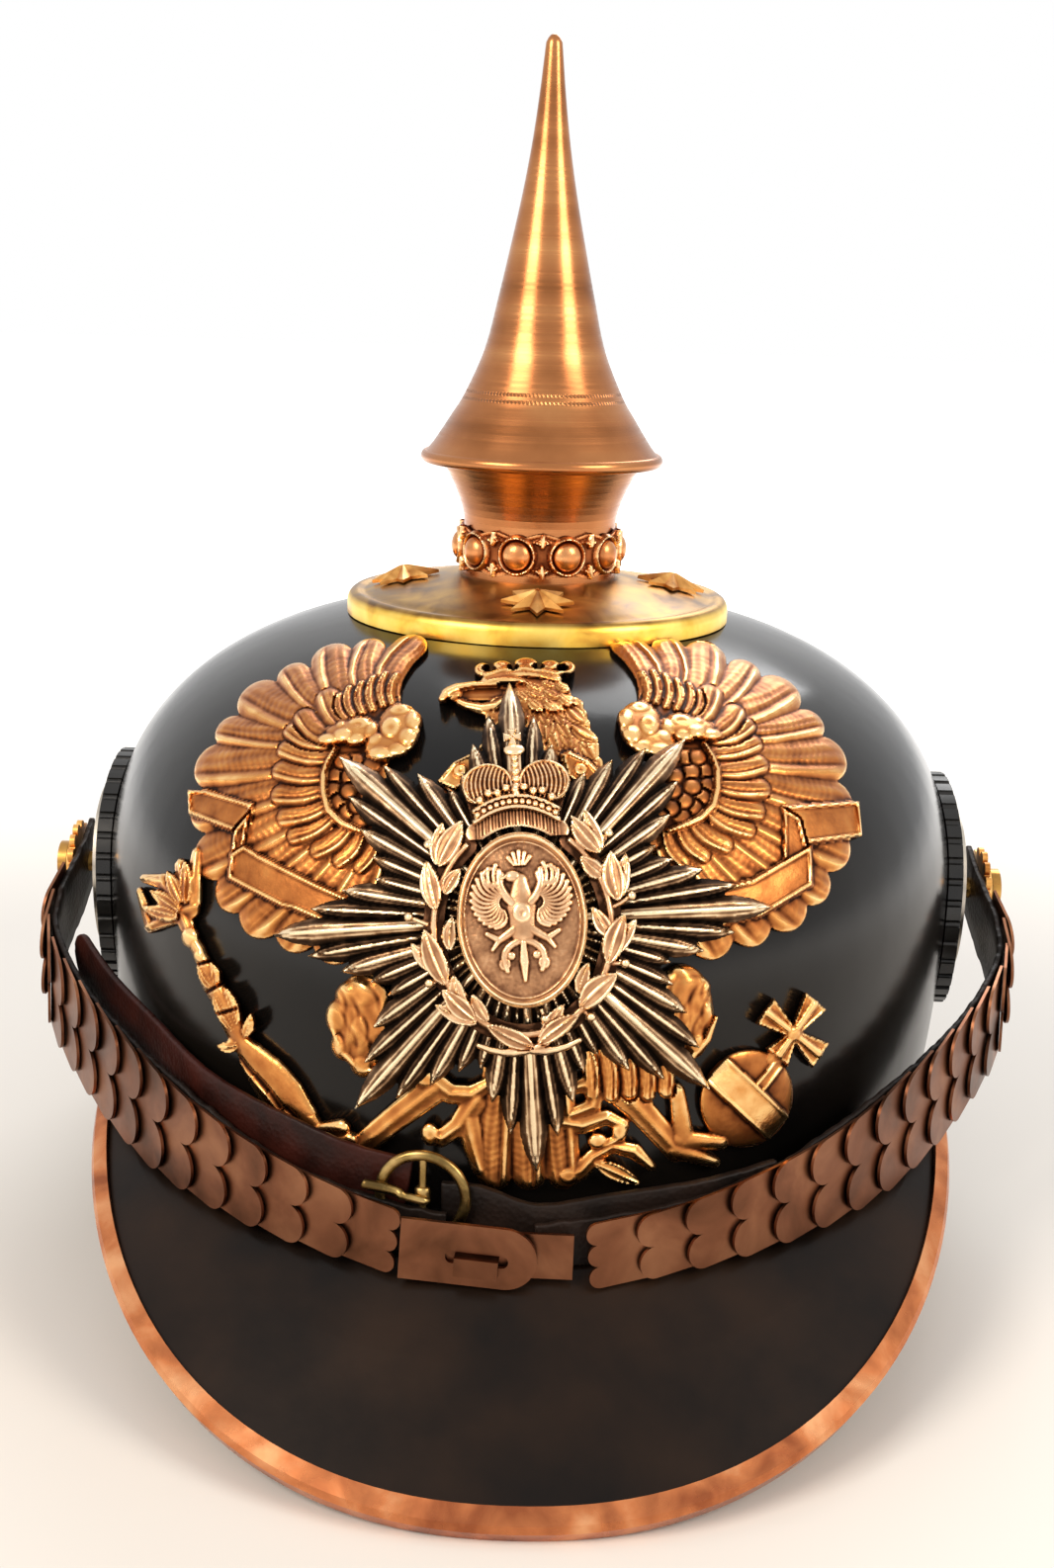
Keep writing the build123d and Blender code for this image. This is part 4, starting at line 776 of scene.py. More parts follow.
wing_scales = (
    (34.6, 27.6), (35.0, 24.8), (33.6, 22.4), (31.8, 20.4), (29.4, 18.6), (31.8, 27.4),
    (31.8, 24.4), (30.0, 21.6), (27.4, 20.2), (28.6, 26.6), (28.0, 23.6), (25.2, 18.6),
    (24.6, 22.0), (31.0, 30.4), (27.8, 29.4), (33.4, 30.4),
)
wrist_grounds = ((22.8, 36.8, 4.0, 5.4), (25.4, 33.2, 3.6, 3.0), (32.6, 36.6, 4.6, 2.2))
wrist_lobes = (
    (36.4, 35.3, 2.3, 1.2, 1.1, 0.0), (33.6, 36.0, 2.3, 1.7, 1.4, 0.0),
    (34.3, 37.8, 1.1, 1.2, 0.9, 0.0), (30.8, 38.0, 2.4, 1.6, 1.1, 0.5),
    (31.2, 35.2, 2.0, 1.5, 1.0, 0.0), (28.4, 36.6, 1.6, 1.8, 0.8, 0.0),
    (22.9, 40.7, 2.2, 1.5, 1.2, 0.3), (20.3, 38.2, 1.8, 2.3, 1.3, 0.0),
    (24.3, 37.0, 2.2, 2.6, 1.6, 0.25), (21.2, 35.0, 2.1, 2.2, 1.4, 0.0),
    (26.0, 31.8, 2.6, 1.7, 1.3, 0.0), (23.2, 32.4, 2.2, 1.6, 1.2, 0.15),
    (27.0, 34.4, 1.8, 1.6, 1.0, 0.0),
)

for side in (-1, 1):
    for i, (start, end, half) in enumerate(rim_feathers):
        ends = mirrored((start, end), side)
        bow = -side * max(0.6, 3.2 - 0.45 * i)
        press_feather(eagle, *ends, bow, (2.2, 0.8 * half, half, half), 0.75, 1.15, -side)
    press_plate(eagle, mirrored(wing_ground, side), 1.3, over=True, tone=-0.16)
    for start, end, half in second_row[::-1]:
        ends = mirrored((start, end), side)
        press_feather(
            eagle, *ends, -side * 0.5, (0.8 * half, half, half), 1.4, 0.95, -side, True, -0.04,
        )
    for start, end, half in small_feathers:
        ends = mirrored((start, end), side)
        radii = (0.6 * half, half, 0.7 * half)
        press_feather(eagle, *ends, -side * 0.8, radii, 1.5, 0.8, -side, True, -0.06)
    for x, y in wing_scales:
        press_dome(eagle, side * x, y, 1.7, 1.6, 1.5, 0.7, over=True, tone=-0.26)
    line = mirrored(wing_line, side)
    press_rod(eagle, line, (0.35, 0.6, 0.6, 0.35), 2.0, 1.0, over=True, tone=0.3)
    for x, y, half_width, half_height in wrist_grounds:
        press_dome(eagle, side * x, y, half_width, half_height, 1.9, 0.95, tone=0.12)
    for x, y, half_width, half_height, rise, hollow in wrist_lobes:
        press_dome(eagle, side * x, y, half_width, half_height, 1.9, rise, hollow, tone=0.2)

# Ribbon: a bare band of the same sheet, which folds twice across each wing
# and has a raised edge.
ribbons = (
    ((-65.6, 27.0), (-61.0, 26.4), (-50.7, 22.9), (-51.1, 19.2), (-54.3, 17.7), (-64.8, 21.9)),
    ((-51.2, 21.5), (-52.0, 14.7), (-55.2, 10.4), (-54.4, 18.0)),
    (
        (-52.0, 15.0), (-48.6, 12.9), (-37.6, 7.4), (-31.6, 4.6), (-32.6, -1.4), (-41.7, 2.6),
        (-44.2, 3.2), (-55.3, 8.8), (-54.9, 13.5),
    ),
    ((66.0, 22.8), (65.8, 15.6), (52.6, 13.6), (49.4, 16.4), (49.4, 21.0)),
    ((49.2, 20.8), (52.6, 18.8), (54.4, 9.0), (51.0, 7.0), (48.4, 11.0)),
    ((54.4, 13.6), (54.2, 6.0), (43.6, 0.2), (31.4, -2.4), (30.4, 4.2), (42.0, 7.0)),
)
for i, points in enumerate(ribbons):
    height = 2.0 + 0.3 * (i % 3 != 1)
    press_plate(eagle, list(points), height, rim=0.6, rim_width=0.95, over=True, tone=-0.02)

# Body and neck: rows of small pointed feathers, which overlap and lean to
# the sides.
ruffle = np.random.default_rng(11)
press_dome(eagle, 0, 2, 15, 24, 1.0, 1.2)
for row in range(9):
    for i in range(7):
        x = (i - 3 + 0.5 * (row % 2)) * 4.4
        press_feather(
            eagle, (x, 24 - row * 4.6), (x * 1.05, 19 - row * 4.6), 0, (1.2, 2.2), 1.3, 0.9,
        )
press_rod(eagle, ((2.6, 24), (2.2, 34), (3.4, 42)), (10.6, 7.6, 6.0), 0.9, 0.7)
neck_rows = (
    (26.5, 11.0, 8), (29.4, 10.6, 8), (32.2, 9.6, 7), (34.8, 8.8, 7), (37.2, 8.2, 6),
    (39.4, 7.6, 6), (41.6, 7.0, 6),
)
for y, half, count in neck_rows:
    for i in range(count):
        share = 2 * i / (count - 1) - 1
        x = 3.2 + share * half * 0.86
        drop = 4.4 + 0.8 * ruffle.random()
        sway = share * 2.2 + 1.4 * (ruffle.random() - 0.3)
        press_leaf(
            eagle, (x, y + 1.6), (x + sway, y + 1.6 - drop), 1.5 + 0.3 * ruffle.random(), 1.2,
            lean=0.5 * share,
        )
press_leaf(eagle, (9.6, 37.0), (14.8, 33.4), 1.5, 1.0, lean=-0.3)
press_leaf(eagle, (9.0, 41.0), (12.4, 37.2), 1.6, 1.1, lean=-0.3)

# Head: a flat brow, a long hooked beak to the left that is hollow between
# its edges, and an arched crown with five lobes.
press_dome(eagle, 3.2, 43.8, 6.7, 4.2, 1.6, 1.2, tone=-0.02)
head_rods = (
    (
        ((-1.0, 44.2), (-5.2, 44.6), (-9.0, 44.4), (-12.2, 43.9)),
        (2.6, 2.3, 1.9, 1.5), 1.2, 0.7, -0.14,
    ),
    (
        ((-2.6, 46.6), (-5.6, 46.3), (-8.6, 46.2), (-12.2, 45.6), (-14.2, 44.5), (-14.9, 43.0)),
        (0.9, 0.8, 0.7, 0.8, 1.0, 0.8), 2.1, 1.0, 0.2,
    ),
    (((-12.2, 44.3), (-14.2, 44.0)), (1.2, 0.8), 1.8, 0.8, 0.08),
    (
        ((-11.6, 42.2), (-10.0, 41.4), (-7.2, 40.8), (-4.6, 41.2), (-2.6, 42.8)),
        (0.7, 0.9, 1.0, 0.9, 0.7), 1.9, 0.9, 0.14,
    ),
    (((-8.6, 40.6), (-5.6, 39.8), (-3.6, 38.6), (-3.0, 36.6)), (0.7, 1.0, 1.1, 0.9), 1.4, 0.8, 0.0),
    (bowed((-6.4, 46.6), (2.2, 46.0), 0.9), (0.5, 0.8, 0.5), 2.5, 0.9, 0.14),
)
for points, radii, base, rise, tone in head_rods:
    press_rod(eagle, points, radii, base, rise, tone=tone)
press_dome(eagle, -2.6, 45.5, 1.3, 0.7, 2.0, 0.5, hollow=0.9, over=True, tone=-0.34)
head_feathers = (
    ((1.2, 46.2), (4.8, 44.6), 0.9), ((4.2, 46.4), (7.8, 45.2), 0.9),
    ((1.4, 44.4), (5.2, 42.6), 0.9), ((-0.8, 44.4), (2.0, 41.8), 0.9),
    ((4.6, 44.6), (7.8, 42.6), 1.0), ((6.8, 46.4), (9.8, 44.4), 0.9),
    ((1.6, 42.6), (4.4, 40.0), 0.9), ((4.6, 42.4), (7.4, 40.0), 0.9),
    ((-1.8, 42.8), (0.2, 39.8), 0.8), ((7.4, 43.6), (10.0, 41.2), 0.9),
)
for start, end, half in head_feathers:
    press_leaf(eagle, start, end, half, 1.9, lean=-0.3)
for x, y, half in (
    (8.0, 45.4, 1.5), (6.2, 43.6, 1.4), (9.2, 42.6, 1.3), (4.4, 42.2, 1.3), (7.0, 40.9, 1.4),
):
    press_dome(eagle, x, y, half, half * 0.8, 2.0, 0.9, hollow=0.5, tone=0.06)
crown_band = ((-6.6, 47.0), (-3.4, 48.3), (0.6, 48.8), (4.2, 48.3), (7.4, 47.3))
press_rod(eagle, crown_band, (0.9, 1.0, 0.9), 2.2, 0.9, tone=0.12)
press_rod(eagle, [(x, y + 1.1) for x, y in crown_band], (0.55, 0.7, 0.55), 2.4, 0.9, tone=0.16)
crown_lobes = (
    (-7.2, 49.8, 1.7, 1.7, 1.0, 0.1), (-3.4, 50.8, 1.8, 1.2, 0.3, 0.12),
    (1.3, 51.4, 2.2, 1.4, 0.3, 0.16), (6.1, 50.8, 1.9, 1.3, 0.3, 0.12),
    (9.4, 50.2, 1.7, 1.7, 1.0, 0.1),
)
for x, y, half_width, half_height, hollow, tone in crown_lobes:
    press_rod(eagle, ((x * 0.75, 48.4), (x, y)), (0.8, 0.8), 1.9, 0.8)
    press_dome(eagle, x, y, half_width, half_height, 2.0, 1.1, hollow, tone=tone)
# Low dots in the gaps between the lobes, painted dark as painted shade.
for x, y in ((-6.1, 50.0), (-1.2, 50.2), (3.7, 50.3), (8.5, 50.1)):
    press_dome(eagle, x, y, 0.8, 0.6, 0.6, 0.1, over=True, tone=-0.4)

# Legs and tail: thighs of curling tufts, bare legs with talons, long tail
# feathers, and leaf scrolls on both sides of them.
thigh_lobes = (
    (-28.8, -18.0, 6.4, 9.0, 2.5), (-29.4, -13.4, 5.0, 3.6, 2.6), (-33.4, -17.2, 2.9, 3.6, 2.3),
    (-33.0, -22.2, 2.5, 2.9, 2.2), (-29.6, -25.6, 2.4, 2.6, 2.2), (-26.2, -20.6, 3.0, 4.6, 2.5),
    (-29.8, -19.4, 2.6, 4.2, 2.9), (28.6, -16.6, 5.9, 8.4, 2.5), (29.4, -12.6, 4.6, 3.0, 2.4),
    (32.0, -17.2, 2.7, 3.8, 2.4), (31.0, -22.4, 2.4, 3.0, 2.2), (26.4, -21.4, 2.6, 3.8, 2.4),
    (28.6, -18.2, 2.3, 3.8, 2.8),
)
for x, y, half_width, half_height, rise in thigh_lobes:
    press_dome(eagle, x, y, half_width, half_height, 0.8, rise, hollow=0.12)
thigh_rim = ((35.0, -19.2), (33.4, -23.2), (29.8, -27.0), (27.0, -26.6))
thigh_curls = (
    (32.3, -13.9), (30.0, -15.6), (32.4, -17.3), (28.4, -18.1), (30.6, -20.9), (27.6, -22.2),
    (32.8, -21.4), (26.1, -13.9),
)
u, w = eagle["u"], eagle["w"]
for middle_x, middle_y, half_width, half_height in (
    (-29.4, -18.0, 6.6, 9.6), (28.8, -16.6, 6.2, 9.0),
):
    on_thigh = np.hypot((u - middle_x) / half_width, (w - middle_y) / half_height) < 1
    curls = np.sin(
        (u - middle_x) * 1.7 + 1.6 * np.sin((w - middle_y) * 0.8) + 0.05 * (w - middle_y) ** 2
    )
    eagle["height"] += 0.13 * curls * on_thigh
for side, lift in ((-1, 0.0), (1, 1.2)):
    rim_line = [(side * x, y + lift) for x, y in thigh_rim]
    press_rod(eagle, rim_line, (0.4, 0.8, 0.8, 0.4), 1.5, 1.2, tone=0.2)
    for x, y in thigh_curls:
        drop = w - y - lift
        far = np.hypot((u - side * (x + 0.3 * drop + 0.12 * drop**2)) / 0.45, drop / 2.0)
        eagle["height"] -= 0.3 * np.exp(-(far**2))
        # The grooves are also painted a little darker, as painted shade.
        eagle["tone"] -= 0.06 * np.exp(-(far**2))
leg_rods = (
    ((-16.6, -30.2), (-24.4, -36.2), 2.9, 2.5, 2), ((-24.4, -36.2), (-32.2, -42.6), 2.5, 2.3, 2),
    ((-31.6, -41.6), (-39.4, -41.6), 2.2, 1.4, 0), ((-31.8, -42.6), (-36.6, -44.4), 1.7, 0.8, 0),
    ((-33.0, -40.2), (-39.4, -38.0), 2.2, 1.6, 0), ((13.8, -27.4), (19.6, -33.0), 3.2, 2.9, 2),
    ((19.6, -33.0), (28.0, -42.6), 2.7, 2.3, 2), ((27.6, -42.4), (35.4, -45.4), 1.9, 1.1, 0),
    ((28.6, -40.6), (36.6, -41.6), 2.1, 1.5, 0), ((27.8, -31.4), (29.4, -41.0), 1.6, 2.2, 0),
)
for start, end, first, last, flutes in leg_rods:
    press_rod(eagle, (start, end), (first, last), 1.0, 1.4, flutes)
for i in range(5):
    x = 11.6 + 3.4 * i
    press_feather(
        eagle, (x - 0.6, -22.8), (x + 0.6, -31.2 - 0.5 * (i % 2)), 0.5, (1.3, 1.8, 1.5), 1.5, 1.1,
        over=True, tone=0.04,
    )
scrolls = (
    (((-18, -27.5), (-13.5, -31), (-9.5, -31.2), (-5.6, -28.6)), (2.2, 2.0, 1.9, 1.2)),
    (((-9, -32.5), (-12, -37), (-15.4, -39.4), (-17.6, -38.2)), (2.2, 2.1, 1.8, 1.5)),
    (((-10.4, -36), (-9.4, -41), (-8.4, -45)), (2.3, 2.0, 1.5)),
    (
        ((7.7, -30.4), (10.8, -29.6), (12.8, -31.0), (12.3, -33.6), (8.6, -35.0)),
        (1.3, 1.6, 1.7, 1.6, 1.2),
    ),
    (
        ((7.2, -36.6), (10.4, -37.2), (14.8, -35.8), (17.8, -37.4), (17.2, -39.8), (14.6, -41.0)),
        (1.4, 1.7, 1.6, 1.4, 1.2, 1.1),
    ),
    (((15.6, -41.4), (12.4, -43.2), (10.2, -45.6), (8.0, -46.6)), (1.3, 1.6, 1.8, 1.9)),
    (((16.4, -41.4), (20.0, -42.4), (23.2, -45.4)), (1.4, 1.6, 0.9)),
)
for points, radii in scrolls:
    press_rod(eagle, points, radii, 1.1, 1.3, 2, tone=0.03)
scroll_ends = (
    (-17.8, -28.2, 2.4, 1.9), (-17.4, -38.6, 1.7, 2.2), (13.2, -40.2, 1.9, 1.6),
    (7.8, -46.6, 2.1, 1.7), (17.2, -38.6, 1.5, 2.0),
)
for x, y, half_width, half_height in scroll_ends:
    press_dome(eagle, x, y, half_width, half_height, 1.4, 1.3, hollow=0.2, tone=0.08)
press_leaf(eagle, (12.6, -44.2), (21.2, -48.6), 1.6, 1.4)
for x, lean in ((-5.2, -1.4), (0.6, 0), (6.4, 1.4)):
    press_feather(
        eagle, (x * 0.6, -16), (x + lean * 0.4, -46), 0.2 * lean, (2.6, 3.2, 3.4, 3.2), 0.9, 1.2,
    )

# Sceptre in the left claw: a turned staff with a broad slotted body, a collar
# of leaves and a small eagle on its end.
staff = (
    (-38.4, -38.4), (-42.3, -35.9), (-45.5, -32.2), (-48.4, -28.4), (-51.4, -24.9), (-54.4, -20.9),
    (-56.4, -15.8), (-59.2, -11.6), (-60.5, -8.7), (-62.2, -4.6), (-64.0, -2.0),
)
staff_radii = (1.6, 3.7, 4.7, 4.4, 3.4, 2.0, 2.6, 2.2, 2.5, 1.6, 1.6)
staff_shares = np.linspace(0, 1, len(staff_radii))
press_rod(eagle, staff, np.interp(np.linspace(0, 1, 41), staff_shares, staff_radii), 0.9, 1.9)
staff_leaves = (
    ((-54.0, -22.4), (-59.0, -23.0), 1.2, 0.3), ((-52.6, -21.0), (-51.0, -16.4), 1.1, -0.3),
    ((-54.8, -20.0), (-59.2, -12.0), 1.1, 0.6), ((-54.0, -18.6), (-56.4, -11.4), 1.0, -0.5),
    ((-58.8, -12.0), (-62.4, -6.8), 1.0, 0.4), ((-58.2, -11.4), (-59.2, -6.8), 1.0, -0.5),
)
for start, end, half, lean in staff_leaves:
    press_leaf(eagle, start, end, half, 1.9, lean, over=False)
# Slots along the staff's body, and grooves across it higher up, painted darker in their depth as
# painted shade.
staff_slots = (
    ((-54.0, -25.2), (-51.6, -27.8), 0.7), ((-50.8, -28.4), (-48.6, -30.8), 0.8),
    ((-48.0, -31.4), (-46.2, -34.0), 0.8), ((-44.6, -34.4), (-42.6, -36.4), 0.7),
    ((-61.6, -13.2), (-56.7, -10.6), 0.4), ((-58.3, -16.7), (-54.0, -15.5), 0.4),
    ((-62.8, -7.4), (-58.1, -6.2), 0.4),
)
for start, end, half in staff_slots:
    depth = along_line(u, w, (start, end), (half, half))[0]
    eagle["height"] -= 0.8 * np.clip(depth / half, 0, 1) ** 0.5
    eagle["tone"] -= 0.2 * np.clip(depth / half, 0, 1)
# The talons that close over the staff's lower end.
talons = (
    (((-41.6, -38.0), (-38.4, -38.4), (-34.2, -37.8)), (0.9, 1.6, 1.9)),
    (((-40.4, -40.6), (-37.0, -40.8), (-32.8, -40.2)), (0.9, 1.6, 1.9)),
    (((-38.4, -43.2), (-35.0, -43.4), (-31.6, -42.4)), (0.8, 1.4, 1.7)),
)
for points, radii in talons:
    press_rod(eagle, points, radii, 1.5, 1.6, tone=0.1)
for x, y, half in ((-64.0, -2.0, 2.1), (-62.0, -5.6, 1.4)):
    press_dome(eagle, x, y, half, half, 1.6, 1.4, tone=0.16)
crest_rods = (
    ((-64.2, -1.2), (-66.6, 4.2), 1.7, 2.4), ((-64.0, 3.6), (-74.6, 0.4), 2.3, 1.4),
    ((-66.6, 4.2), (-70.6, 9.0), 3.0, 1.8), ((-63.4, 5.2), (-62.6, 14.2), 2.2, 1.2),
    ((-74.2, 0.8), (-77.0, 7.4), 1.8, 1.0), ((-65.4, 6.0), (-66.4, 12.0), 2.0, 1.4),
    ((-70.6, 9.0), (-76.0, 10.0), 1.6, 0.9),
)
for start, end, first, last in crest_rods:
    press_rod(eagle, (start, end), (first, last), 1.0, 1.5, 2)
crest_leaves = (
    ((-66.0, 3.0), (-73.6, 7.4)), ((-66.4, 2.0), (-75.4, 4.0)), ((-64.6, 4.4), (-64.8, 12.6)),
    ((-65.8, 4.6), (-69.2, 11.0)),
)
for start, end in crest_leaves:
    press_leaf(eagle, start, end, 1.3, 2.0)

# Orb in the right claw: a ball with a broad belt across it, a narrow strap
# that runs up from the belt, and a cross at the strap's end.
orb_middle = (41.6, -33.6)
orb_radius = 9.4
belt_turn = math.radians(-43.0)
orb_belts = ((belt_turn + math.pi / 2, 1.3, (0, 1), 0.3), (belt_turn, 3.1, (-1, 1), 0.75))
press_dome(eagle, *orb_middle, orb_radius, orb_radius, 0.9, 1.9, tone=-0.14)
for turn, strap_half, reach, proud in orb_belts:
    end = (8.9 * math.cos(turn), 8.9 * math.sin(turn))
    belt = [(orb_middle[0] + s * end[0], orb_middle[1] + s * end[1]) for s in reach]
    part, u, w = window(eagle, belt, 8)
    depth, along, across, radius, total = along_line(u, w, belt, (strap_half, strap_half))
    from_middle = np.hypot(u - orb_middle[0], w - orb_middle[1])
    ball = 0.9 + 1.9 * np.sqrt(np.clip(1 - (from_middle / orb_radius) ** 2, 0, 1))
    on_edge = np.clip(1.5 - np.abs(np.abs(across) - strap_half + 0.45) / 0.3, 0, 1)
    on_belt = (from_middle < orb_radius + 0.2) & (np.abs(across) < strap_half)
    on_belt &= (along > 0) & (along < 1)
    belt_tone = 0.1 + 0.55 * (proud - 0.3) + 0.1 * on_edge
    press(
        eagle, part, np.where(on_belt, 0.1, far_outside), ball + proud + 0.35 * on_edge,
        tone=belt_tone,
    )
cross_middle = (50.5, -21.6)
press_rod(eagle, ((46.4, -26.8), cross_middle), (2.0, 1.2), 1.0, 1.2)
for angle in (53, 143, 233, 323):
    turn = math.radians(angle)
    ahead = np.array((math.cos(turn), math.sin(turn)))
    aside = np.array((-ahead[1], ahead[0]))
    reach = 7.6 if angle != 233 else 5.5
    corners = ((0, -1.0), (reach, -3.0), (reach, 3.0), (0, 1.0))
    arm = [tuple(cross_middle + ahead * a + aside * b) for a, b in corners]
    press_plate(eagle, arm, 1.8, rim=0.4, rim_width=0.7, crown=0.5)
    press_rod(
        eagle, (cross_middle, cross_middle + ahead * (reach - 0.8)), (0.7, 0.9), 2.1, 0.8, tone=0.1,
    )
press_dome(eagle, *cross_middle, 1.5, 1.5, 2.2, 0.9, tone=0.12)

# Gilt cap behind the star's crown, pressed from the same sheet: two curled
# lobes that show beside the crown.
cap_lobe = ((12.4, 29.2), (9.0, 31.0), (7.6, 30.4), (8.6, 26.0), (12.0, 23.6))
for side, tip in ((-1, (-15.4, 25.4)), (1, (15.6, 25.8))):
    press_plate(
        eagle, [tip] + mirrored(cap_lobe, side), 3.6, rim=0.5, rim_width=0.8, over=True, tone=0.14,
    )
    press_dome(eagle, side * 11.0, 27.4, 1.2, 1.2, 3.7, 0.9, hollow=0.7, over=True, tone=0.1)

# The finished sheet is trimmed along the base plate's rim, so that none of it
# reaches under that plate, and is laid on the skull.
flat_u, flat_w = eagle["u"].reshape(-1, 1), eagle["w"].reshape(-1, 1)
lay_eagle = lay_on_skull(eagle_turn)
lying = lay_eagle(flat_u, flat_w, np.full(len(flat_u), 1.0))
rim_room = np.hypot(lying[:, 0], lying[:, 1]) - plate_radius - leather_gap
eagle["inside"] = np.minimum(eagle["inside"], rim_room.reshape(eagle["u"].shape))
finish_relief(eagle, "eagle", lay_eagle, leather_gap, eagle_gilt, "eagle_plate")

# The star in front of the eagle: silver plate, stamped into sheaves of rays round a centre, with
# black tarnish and painted shade between them. A post with a nut holds it, and a gap keeps it off
# the eagle.
star_turn = math.radians(4.9)
star_reach = 45.5
star_gap = 3.4
ray_shares = (0.60, 0.72, 0.84, 1.0, 0.86, 0.74, 0.64)
ray_step = 6.3
ridge_share = 0.985
ray_halves = (0.75, 0.95, 1.15, 1.4, 1.6, 1.8, 2.0, 2.2, 2.3, 1.6, 0.2)
tarnish_tones = (
    (0.06, "#120c08"), (0.34, "#3d2b1e"), (0.53, "#75583f"), (0.71, "#b5916d"), (0.90, "#f4dcb4"),
)
star_silver = stamped_metal("tarnished_silver", tarnish_tones, 3.5, (0.6, 0.24))


def press_ray(relief, start, end, halves, base, rise, tone=0.0):
    """A ray: a long bar with sloped sides and a flat top."""
    part, u, w = window(relief, (start, end), max(halves) + 1)
    depth, along, across, radius, total = along_line(u, w, (start, end), halves)
    slope = np.clip(depth / radius / 0.55, 0, 1)
    press(relief, part, depth, base + rise * slope, tone=tone + 0.2 * (slope > 0.9) - 0.1)


star = start_relief(-48.0, 48.0, -48.0, 48.0, 0.25)
tarnish = np.random.default_rng(5)
for arm in range(8):
    for i, share in enumerate(ray_shares):
        turn = math.radians(90 + 45 * arm + (i - 3) * ray_step)
        reach = star_reach * share
        start = (8 * math.cos(turn), 8 * math.sin(turn))
        end = (reach * math.cos(turn), reach * math.sin(turn))
        middle = i == 3
        low = star_gap + 0.3 * (i % 2)
        dark = -0.2 - 0.14 * tarnish.random() if i % 2 == 0 else -0.12 - 0.1 * tarnish.random()
        body = [half * (1.12 if middle else 0.94) for half in ray_halves]
        press_ray(
            star, start, end, body, low + 0.4, 1.0 + 0.4 * middle, tone=-0.08 if middle else dark,
        )
        ridge = [half * (0.36 if middle else 0.24) for half in ray_halves]
        bright = 0.3 if middle else 0.22 * (i % 2) - 0.02 + 0.12 * tarnish.random()
        end = (end[0] * ridge_share, end[1] * ridge_share)
        press_ray(star, start, end, ridge, low + 1.25, 0.6 + 0.3 * middle, tone=bright)
press_dome(star, 0, -1, 19, 21, star_gap + 0.8, 0.8, tone=-0.3)
lay_star = lay_on_skull(star_turn)
finish_relief(star, "star_of_rays", lay_star, star_gap, star_silver, "star_rays")

# Wreath round the medallion: two sprays of laurel, each leaf with a raised
# edge, and berries on thin stalks. Their stems cross below.
wreath_gap = 6.3
wreath_half_width = 15.6
wreath_half_height = 18.6
wreath_leaves = (
    ((-11.2, -15.0), (-12.6, -9.0), 1.4), ((-7.0, -17.4), (-9.5, -12.4), 1.2),
    ((-13.0, -4.6), (-12.2, 1.2), 1.3), ((-13.4, 5.2), (-10.3, 9.5), 1.4),
    ((15.0, 6.6), (10.8, 10.5), 1.5), ((15.4, -4.0), (12.3, 1.6), 1.4),
    ((9.0, -13.4), (11.2, -8.0), 1.3), ((2.5, -20.4), (6.6, -15.0), 1.2),
    ((-15.5, -8.4), (-19.7, -3.0), 1.3), ((-9.0, -17.6), (-16.2, -14.0), 1.4),
    ((16.2, -6.8), (20.0, -0.9), 1.3), ((17.8, 3.2), (18.9, 10.8), 1.3),
    ((14.8, 11.8), (12.0, 19.1), 1.4), ((-14.6, 10.4), (-13.2, 18.0), 1.5),
    ((-14.0, -10.6), (-17.3, -0.8), 2.0), ((-9.3, -17.1), (-14.6, -11.4), 1.7),
    ((-15.0, 2.6), (-16.3, 11.4), 1.8), ((-14.3, 10.2), (-9.4, 18.2), 2.0),
    ((14.5, -8.4), (18.0, 0.0), 1.9), ((9.2, -15.8), (16.1, -10.3), 2.1),
    ((17.0, 2.4), (16.2, 11.3), 2.0), ((14.4, 11.0), (9.4, 18.0), 1.7),
    ((0.8, -22.4), (-7.2, -18.0), 1.6), ((1.6, -21.8), (8.9, -17.0), 1.6),
)
wreath_berries = (
    (-19.9, 1.6), (-16.9, -10.2), (-15.9, 14.2), (16.1, 14.5), (19.4, 3.2), (17.6, -8.6),
    (11.1, -17.7), (3.0, -17.5),
)
rubbed_tones = (
    (0.06, "#2c1a10"), (0.28, "#765038"), (0.48, "#ab7d59"), (0.66, "#d3a47a"), (0.88, "#f8d8ac"),
)
rubbed_silver = stamped_metal("rubbed_warm_silver", rubbed_tones, 3.0, (0.5, 0.26))
wreath = start_relief(-26.0, 26.0, -30.0, 26.0, 0.18)
for side in (-1, 1):
    turns = np.radians(np.arange(-90, 56, 8))
    stem = np.stack(
        (side * wreath_half_width * np.cos(turns), wreath_half_height * np.sin(turns) - 1.5), 1,
    )
    press_rod(wreath, stem, (1.9, 1.9), wreath_gap + 0.1, 0.3, tone=-0.3)
    press_rod(wreath, stem, (0.7, 0.6), wreath_gap + 0.3, 0.8)
    stalk = bowed((side * 8.8, -21.6), (-side * 3.2, -21.6), side * 1.6)
    press_rod(wreath, stalk, (0.55, 0.8, 0.6), wreath_gap + 0.7, 0.8)
for x, y in wreath_berries:
    press_rod(wreath, ((x * 0.84, y * 0.84 - 1.2), (x, y)), (0.4, 0.4), wreath_gap + 0.2, 0.6)
for start, end, half in wreath_leaves:
    press_leaf(wreath, start, end, half, wreath_gap + 0.35, lean=0.15 * half)
for x, y in wreath_berries:
    press_dome(wreath, x, y, 0.8, 0.8, wreath_gap + 0.9, 0.8, tone=0.3)
# The wreath is open where the medallion and its crown lie.
medallion_half_width = 11.4
medallion_half_height = 15.4
opening_depth = 11.0
crown_room_half = 9.6
crown_room_foot = 16.2
u, w = wreath["u"], wreath["w"]
q = np.hypot(u / (medallion_half_width + leather_gap), w / (medallion_half_height + leather_gap))
oval = (1 - q) * opening_depth
crown_room = np.maximum(np.abs(u) - crown_room_half, crown_room_foot - w)
wreath["inside"] = np.minimum(np.minimum(wreath["inside"], -oval), crown_room)
finish_relief(
    wreath, "laurel_wreath", lay_star, wreath_gap, rubbed_silver, "star_wreath",
)

